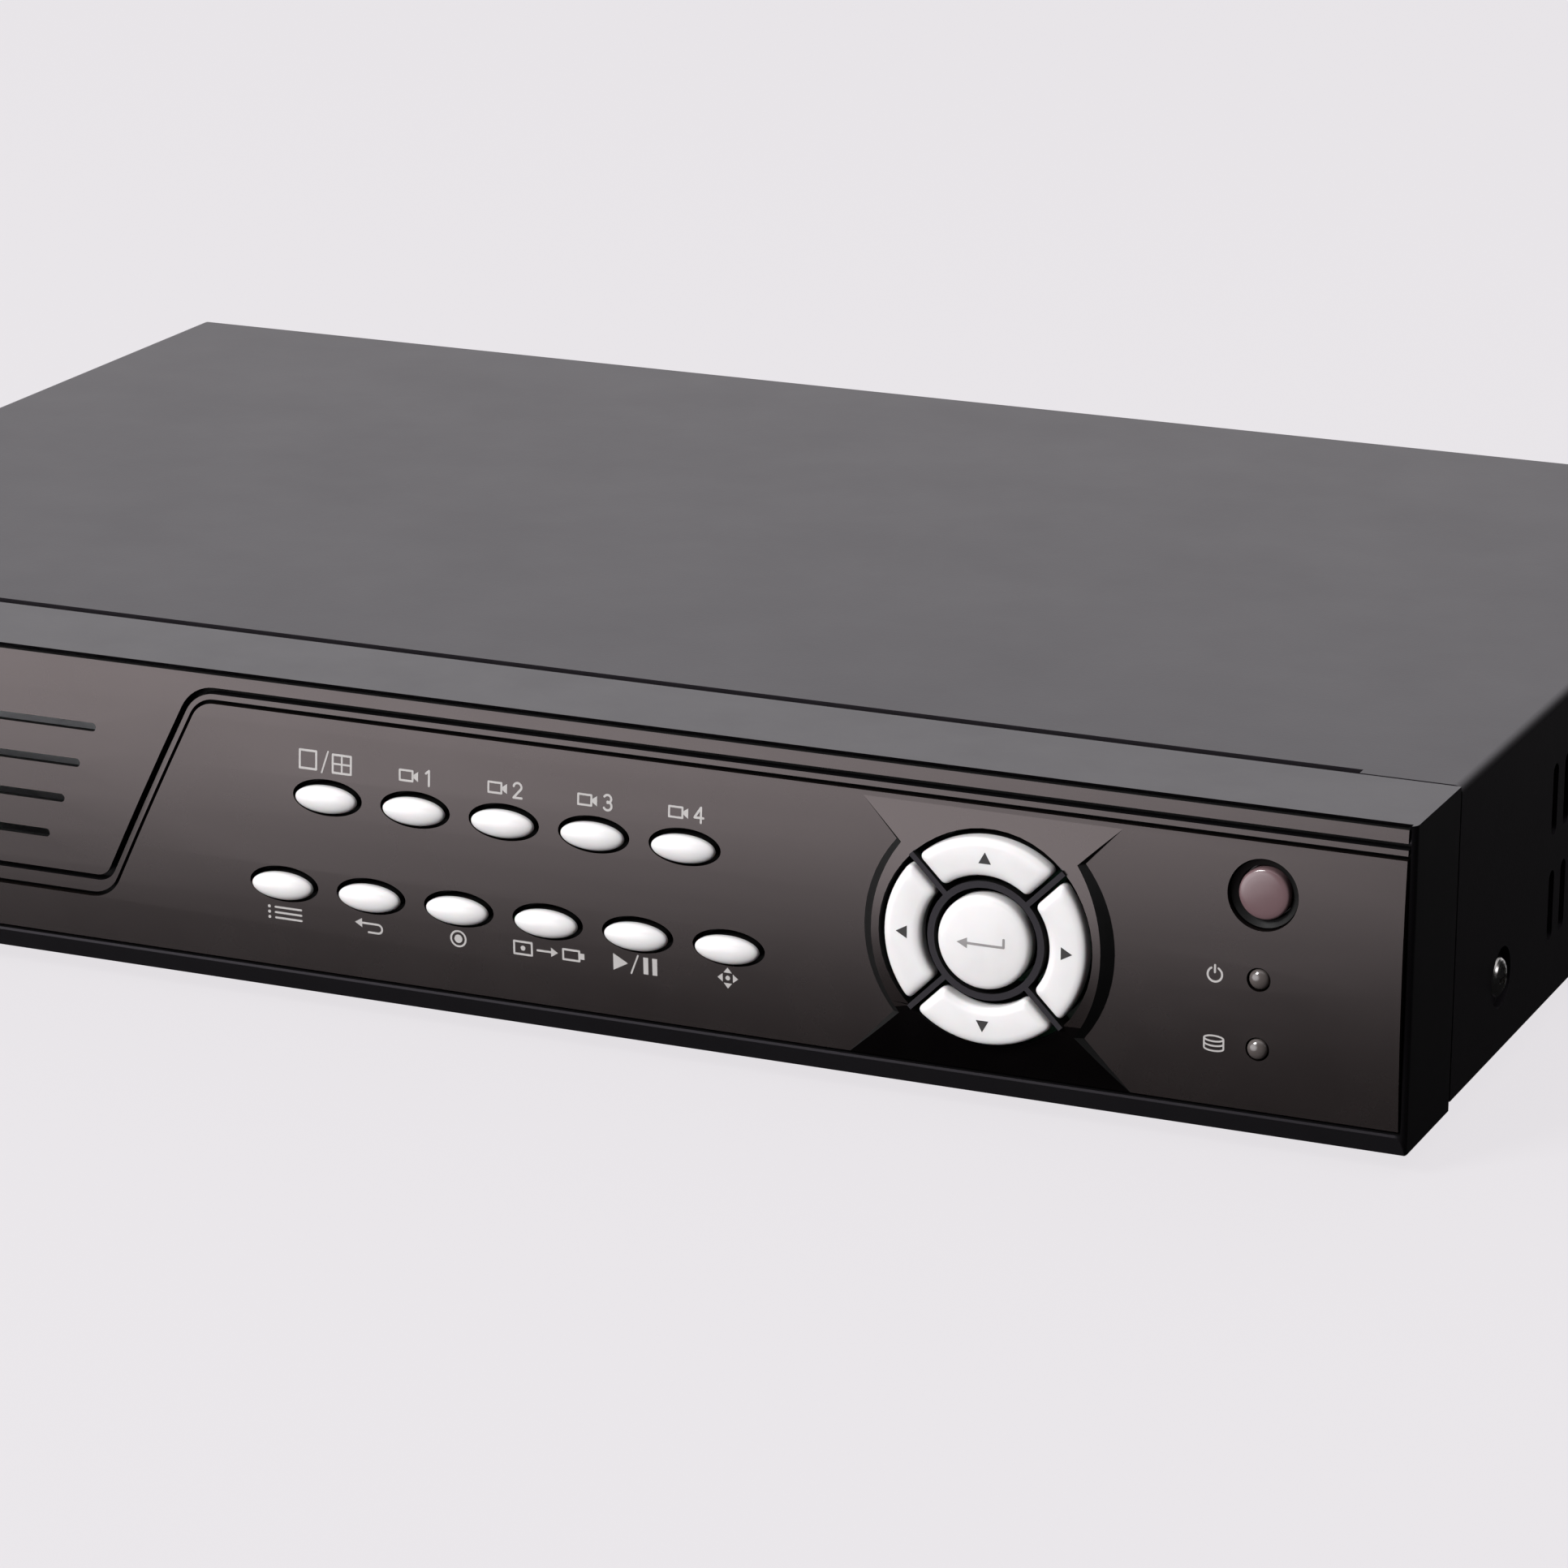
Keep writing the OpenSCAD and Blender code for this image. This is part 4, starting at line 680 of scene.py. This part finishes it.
def record_icon():
    return [disc(0, 0, 0.5, 20)] + stroke(arc(0, 0, 0.92, 0, 360, n=28)[:-1], 0.22, closed=True)


def backup_icon():
    disk = box_line(-3.0, 0, 2.2, 1.5) + [disc(-3.0, 0, 0.3)]
    arrow = stroke([(-1.2, 0), (0.7, 0)]) + [[(0.5, -0.55), (1.35, 0), (0.5, 0.55)]]
    stick = box_line(3.0, 0, 2.0, 1.2) + [rect(4.35, 0, 0.55, 0.7)]
    return disk + arrow + stick


def play_pause_icon():
    play = [(-2.9, -1.0), (-1.1, 0), (-2.9, 1.0)]
    return [play] + stroke([(-0.7, -1.1), (0.15, 1.1)], 0.2) + [rect(x, 0, 0.6, 2.0) for x in (1.1, 2.2)]


def camera_move_icon():
    tip = [(0.62, -0.5), (1.25, 0), (0.62, 0.5)]
    return [disc(0, 0, 0.28)] + [rotated(tip, angle) for angle in range(0, 360, 90)]


def power_icon():
    return stroke(arc(0, -0.05, 0.85, 120, 420, n=26)) + stroke([(0, 0.2), (0, 1.05)])


def drive_icon():
    top = stroke(arc(0, 0.55, 1.15, 0, 360, rz=0.34, n=28)[:-1], 0.2, closed=True)
    bowl = arc(0, -0.6, 1.15, 180, 360, rz=0.34, n=14)
    low = stroke([(-1.15, 0.55), (-1.15, -0.6)] + bowl + [(1.15, 0.55)], 0.2)
    return top + low + stroke(arc(0, 0, 1.15, 180, 360, rz=0.34, n=14), 0.2)


def enter_icon():
    line = dense([(3.2, 0.95), (3.2, -0.2), (-2.6, -0.2)])
    return stroke(line, 0.36) + [[(-3.9, -0.2), (-2.3, -1.0), (-2.3, 0.6)]]


def monitor_icon():
    stand = stroke([(-0.7, -0.95), (0.7, -0.95)], 0.26) + stroke([(0, -0.5), (0, -0.95)])
    return box_line(0, 0.25, 2.3, 1.5) + stand


def speaker_icon():
    magnet = [(-1.0, -0.35), (-0.5, -0.35), (-0.5, 0.35), (-1.0, 0.35)]
    cone = [(-0.5, -0.35), (0.1, -0.85), (0.1, 0.85), (-0.5, 0.35)]
    waves = stroke(arc(0.1, 0, 0.6, -50, 50, n=8), 0.2) + stroke(arc(0.1, 0, 1.05, -50, 50, n=10), 0.2)
    return [magnet, cone] + waves


def network_icon():
    boxes = [rect(x, z, 0.8, 0.6) for x, z in ((0, 0.75), (-0.95, -0.75), (0.95, -0.75))]
    fork = [(-0.95, -0.45), (-0.95, 0), (0.95, 0), (0.95, -0.45)]
    return boxes + stroke(fork, 0.18) + stroke([(0, 0.45), (0, 0)], 0.18)


def signs_icon():
    return stroke([(-1.9, 0), (-0.9, 0)]) + stroke([(-1.4, -0.5), (-1.4, 0.5)]) + stroke([(0.9, 0), (1.9, 0)])


def polarity_icon():
    ring = stroke(arc(0, 0, 0.85, 40, 320, n=24), 0.22) + [disc(0, 0, 0.32, 18)]
    wires = stroke([(0, 0), (1.7, 0)], 0.2) + stroke([(-0.85, 0), (-1.6, 0)], 0.2)
    plus = stroke([(2.1, 0), (3.0, 0)]) + stroke([(2.55, -0.45), (2.55, 0.45)])
    return ring + wires + plus + stroke([(-2.0, 0), (-2.8, 0)])


WELD = 1e-5
REAR_START, FRONT_START = 260, -20
# A ray that slips between two faces is tried again beside its place
NUDGES = ((0, 0), (0.013, 0.007), (-0.013, 0.011), (0.009, -0.012))


def flat_union(shapes):
    """Vertices and triangles of the union of 2D polygons."""
    points, faces = [], []
    for shape in shapes:
        area = sum(a[0] * b[1] - b[0] * a[1] for a, b in zip(shape, shape[1:] + shape[:1]))
        shape = shape if area > 0 else shape[::-1]
        faces.append(list(range(len(points), len(points) + len(shape))))
        points += [Vector(p) for p in shape]
    verts, _, triangles, _, _, owners = delaunay_2d_cdt(points, [], faces, 1, WELD)
    return verts, [t for t, who in zip(triangles, owners) if who]


def surface_y(tree, x, z, way):
    """Where a line along Y, at case coordinates x and z, first meets the tree; None where it misses."""
    start_y = FRONT_START if way > 0 else REAR_START
    for dx, dz in NUDGES:
        hit = tree.ray_cast(at(x + dx, start_y, z + dz), Vector((0, way, 0)))[0]
        if hit is not None:
            return hit.y
    return None


def rim_walls(triangles, n):
    """Walls that join the open edges of triangles to the same edges n vertices on."""
    edges = {}
    for t in triangles:
        for a, b in zip(t, t[1:] + t[:1]):
            edges.setdefault(tuple(sorted((a, b))), []).append((a, b))
    rims = [uses[0] for uses in edges.values() if len(uses) == 1]
    return [(b, a, a + n, b + n) for a, b in rims]


def printed(name, shapes, material, body, slot, tree, from_back=False):
    """Flat marks laid on the surface of tree, seen from the front, or from behind if from_back."""
    verts, triangles = flat_union(shapes)
    way = -1 if from_back else 1
    top, low = [], []
    for v in verts:
        x, z = v.x * way, v.y
        y = surface_y(tree, x, z, way)
        if y is None:
            raise ValueError(f"{name}: the mark at {v.x:.1f}, {v.y:.1f} misses its surface")
        spot = at(x, 0, z)
        top.append((spot.x, y - way * PRINT_RAISE * MM, spot.z))
        low.append((spot.x, y + way * PRINT_SINK * MM, spot.z))
    n = len(verts)
    faces = [tuple(t) for t in triangles] + [tuple(i + n for i in t[::-1]) for t in triangles]
    return piece(name, top + low, faces + rim_walls(triangles, n), material, body, slot, smooth=False)


UPPER_MARK_Z, LOWER_MARK_Z, ICON_SCALE, CHANNEL_SCALE = 36.1, 12.0, 1.3, 1.4
CAMERA_SHIFT, DIGIT_SHIFT = -0.9, 2.4
LAMP_MARK_SHIFT, LAMP_MARK_SCALE = -6.4, 1.25


def camera_mark(number, x, z, scale):
    """A camera and its number, side by side about x."""
    return moved(camera_icon(), x + CAMERA_SHIFT, z, scale) + moved(digit(number), x + DIGIT_SHIFT, z, scale)


marks = moved(display_icon(), case_of(centre_of("display_key")).x, UPPER_MARK_Z + 0.3, ICON_SCALE)
for node, icon in (("menu_key", menu_icon()), ("escape_key", escape_icon()), ("record_key", record_icon()),
                   ("backup_key", backup_icon()), ("play_pause_key", play_pause_icon()),
                   ("camera_move_key", camera_move_icon())):
    marks += moved(icon, case_of(centre_of(node)).x, LOWER_MARK_Z, ICON_SCALE)
for i in range(1, 5):
    marks += camera_mark(i, case_of(centre_of(f"channel_{i}_key")).x, UPPER_MARK_Z, CHANNEL_SCALE)
for node, icon in (("power_lamp", power_icon()), ("drive_lamp", drive_icon())):
    c = case_of(centre_of(node))
    marks += moved(icon, c.x + LAMP_MARK_SHIFT, c.z, LAMP_MARK_SCALE)
printed("face_marks", marks, PRINT, "chassis", "key_plastic", tree_of(NODES["control_panel"]))

ARROW_REACH = 12.4
ARROW = [(-0.95, ARROW_REACH - 0.75), (0.95, ARROW_REACH - 0.75), (0, ARROW_REACH + 0.95)]
for node, angle in (("right_key", -90), ("up_key", 0), ("left_key", 90), ("down_key", 180)):
    shapes = moved([rotated(ARROW, angle)], PAD.x, PAD.z)
    printed(node + "_arrow", shapes, DARK_PRINT, node, "frame_plastic", tree_of(KEY_FRONTS[node]))
printed("enter_mark", moved(enter_icon(), PAD.x, PAD.z), GREY_PRINT, "enter_key", "frame_plastic",
        tree_of(KEY_FRONTS["enter_key"]))

# The marks on the back, in millimetres right and up as seen from behind
BNC_X0, BNC_PITCH, CHANNELS, BNC_MARK_Z = -126, 22, 4, 29.5
AUDIO_MARKS = ((-16, 36.4), (-2, 36.4), (-16, 8.2), (-2, 8.2))
SPEAKER_AT = (12, 22.2)
VGA_MARK_Z, INLET_MARK_Z = 25.5, 22.3
rear = []
for i in range(CHANNELS):
    rear += camera_mark(i + 1, BNC_X0 + i * BNC_PITCH, BNC_MARK_Z, 1.3)
rear += moved(monitor_icon(), BNC_X0 + CHANNELS * BNC_PITCH, BNC_MARK_Z, 1.4)
for i, (x, z) in enumerate(AUDIO_MARKS):
    rear += moved(digit(i + 1), x, z, 1.1)
rear += moved(speaker_icon(), *SPEAKER_AT, 1.3)
rear += moved(monitor_icon(), -PORT_X["vga_port"], VGA_MARK_Z, 1.3)
rear += moved(polarity_icon(), -PORT_X["power_inlet"], INLET_MARK_Z, 0.9)
printed("back_marks", rear, PRINT, "chassis", "key_plastic", tree_of(NODES["back_panel"]), from_back=True)

port_marks = []
for node, icon, z in (("lan_port", network_icon(), 24.7), ("hdmi_port", monitor_icon(), 18.6),
                      ("rs485_terminal", signs_icon(), 20.6)):
    port_marks += moved(icon, -case_of(centre_of(node)).x, z)
printed("port_marks", port_marks, DARK_PRINT, "chassis", "frame_plastic", tree_of(NODES["port_shield"]),
        from_back=True)

# ---------------------------------------------------------------- floor and light

PALE = (0.795, 0.77, 0.797)
FLOOR_GLOW, FLOOR_DULL = 0.95, (0.06, 0.06, 0.06)
FLOOR_R, FLOOR_SIDES = 9.0, 96


def floor_material():
    material = bpy.data.materials.new("pale_floor")
    material.use_nodes = True
    g = Graph(material.node_tree)
    material.node_tree.nodes.clear()
    glow = g.add("ShaderNodeEmission")
    glow.inputs["Color"].default_value = rgba(PALE)
    glow.inputs["Strength"].default_value = FLOOR_GLOW
    dull = g.add("ShaderNodeBsdfDiffuse")
    dull.inputs["Color"].default_value = rgba(FLOOR_DULL)
    both = g.add("ShaderNodeAddShader")
    g.put(both.inputs[0], glow.outputs[0])
    g.put(both.inputs[1], dull.outputs[0])
    out = g.add("ShaderNodeOutputMaterial")
    g.put(out.inputs["Surface"], both.outputs[0])
    return material


floor_mesh = bpy.data.meshes.new("floor")
floor_rim = [(x, y, 0) for x, y in disc(0, 0, FLOOR_R, FLOOR_SIDES)]
floor_mesh.from_pydata(floor_rim, [], [tuple(range(FLOOR_SIDES))])
floor_mesh.materials.append(floor_material())
floor = bpy.data.objects.new("floor", floor_mesh)
bpy.context.scene.collection.objects.link(floor)
floor.visible_diffuse = False
floor.visible_glossy = False
floor.visible_transmission = False
floor.visible_shadow = False

world = bpy.data.worlds.new("studio")
bpy.context.scene.world = world
world.use_nodes = True
g = Graph(world.node_tree)
world.node_tree.nodes.clear()
direction = g.add("ShaderNodeTexCoord").outputs["Generated"]


def lobe(axis, inner, outer, strength, squash):
    """Light from round a direction: full within inner degrees of it, and none beyond outer. Both are
    squash times as large from side to side as they are up and down."""
    stretch = g.add("ShaderNodeVectorMath", operation="MULTIPLY")
    g.put(stretch.inputs[0], direction)
    stretch.inputs[1].default_value = (1, 1, squash)
    length = g.add("ShaderNodeVectorMath", operation="NORMALIZE")
    g.put(length.inputs[0], stretch.outputs["Vector"])
    dot = g.add("ShaderNodeVectorMath", operation="DOT_PRODUCT")
    g.put(dot.inputs[0], length.outputs["Vector"])
    dot.inputs[1].default_value = Vector((axis[0], axis[1], axis[2] * squash)).normalized()
    ramp = g.add("ShaderNodeMapRange", interpolation_type="SMOOTHSTEP")
    g.put(ramp.inputs["Value"], dot.outputs["Value"])
    ramp.inputs["From Min"].default_value = math.cos(math.radians(outer))
    ramp.inputs["From Max"].default_value = math.cos(math.radians(inner))
    ramp.inputs["To Max"].default_value = strength
    return ramp.outputs["Result"]


# Direction, inner and outer degrees, strength and squash: the sheen on the roof, the sheen on the
# face plates, a soft top light, and a small glint for the side screws
SKY = [
    ((-0.38, 0.88, 0.32), 24, 50, 1.05, 1.0),
    ((-0.62, -0.78, 0.02), 13, 37, 2.75, 1.4),
    ((0, 0, 1), 15, 60, 0.8, 1.0),
    ((0.95, 0.1, 0.45), 4, 12, 3.0, 1.0),
]
SKY_BASE = 0.006
SKY_COLOUR = (1.0, 0.975, 1.0)
total = SKY_BASE
for row in SKY:
    add = g.add("ShaderNodeMath", operation="ADD")
    g.put(add.inputs[0], lobe(*row))
    g.put(add.inputs[1], total)
    total = add.outputs[0]
light = g.add("ShaderNodeBackground")
light.inputs["Color"].default_value = rgba(SKY_COLOUR)
g.put(light.inputs["Strength"], total)
plain = g.add("ShaderNodeBackground")
plain.inputs["Color"].default_value = rgba(PALE)
path = g.add("ShaderNodeLightPath")
mix = g.add("ShaderNodeMixShader")
g.put(mix.inputs[0], path.outputs["Is Camera Ray"])
g.put(mix.inputs[1], light.outputs[0])
g.put(mix.inputs[2], plain.outputs[0])
out = g.add("ShaderNodeOutputWorld")
g.put(out.inputs["Surface"], mix.outputs[0])


def soft_box(name, place, target, size, watts):
    data = bpy.data.lights.new(name, "AREA")
    data.shape = "RECTANGLE"
    data.size = data.size_y = size
    data.energy = watts
    obj = bpy.data.objects.new(name, data)
    bpy.context.scene.collection.objects.link(obj)
    obj.location = place
    obj.rotation_euler = (Vector(target) - Vector(place)).to_track_quat("-Z", "Y").to_euler()
    obj.visible_camera = False


soft_box("key_light", place=(-0.9, -1.6, 1.3), target=(0, -0.05, 0.03), size=0.7, watts=45)

scene = bpy.context.scene
scene.view_settings.view_transform = "Standard"
scene.view_settings.look = "None"
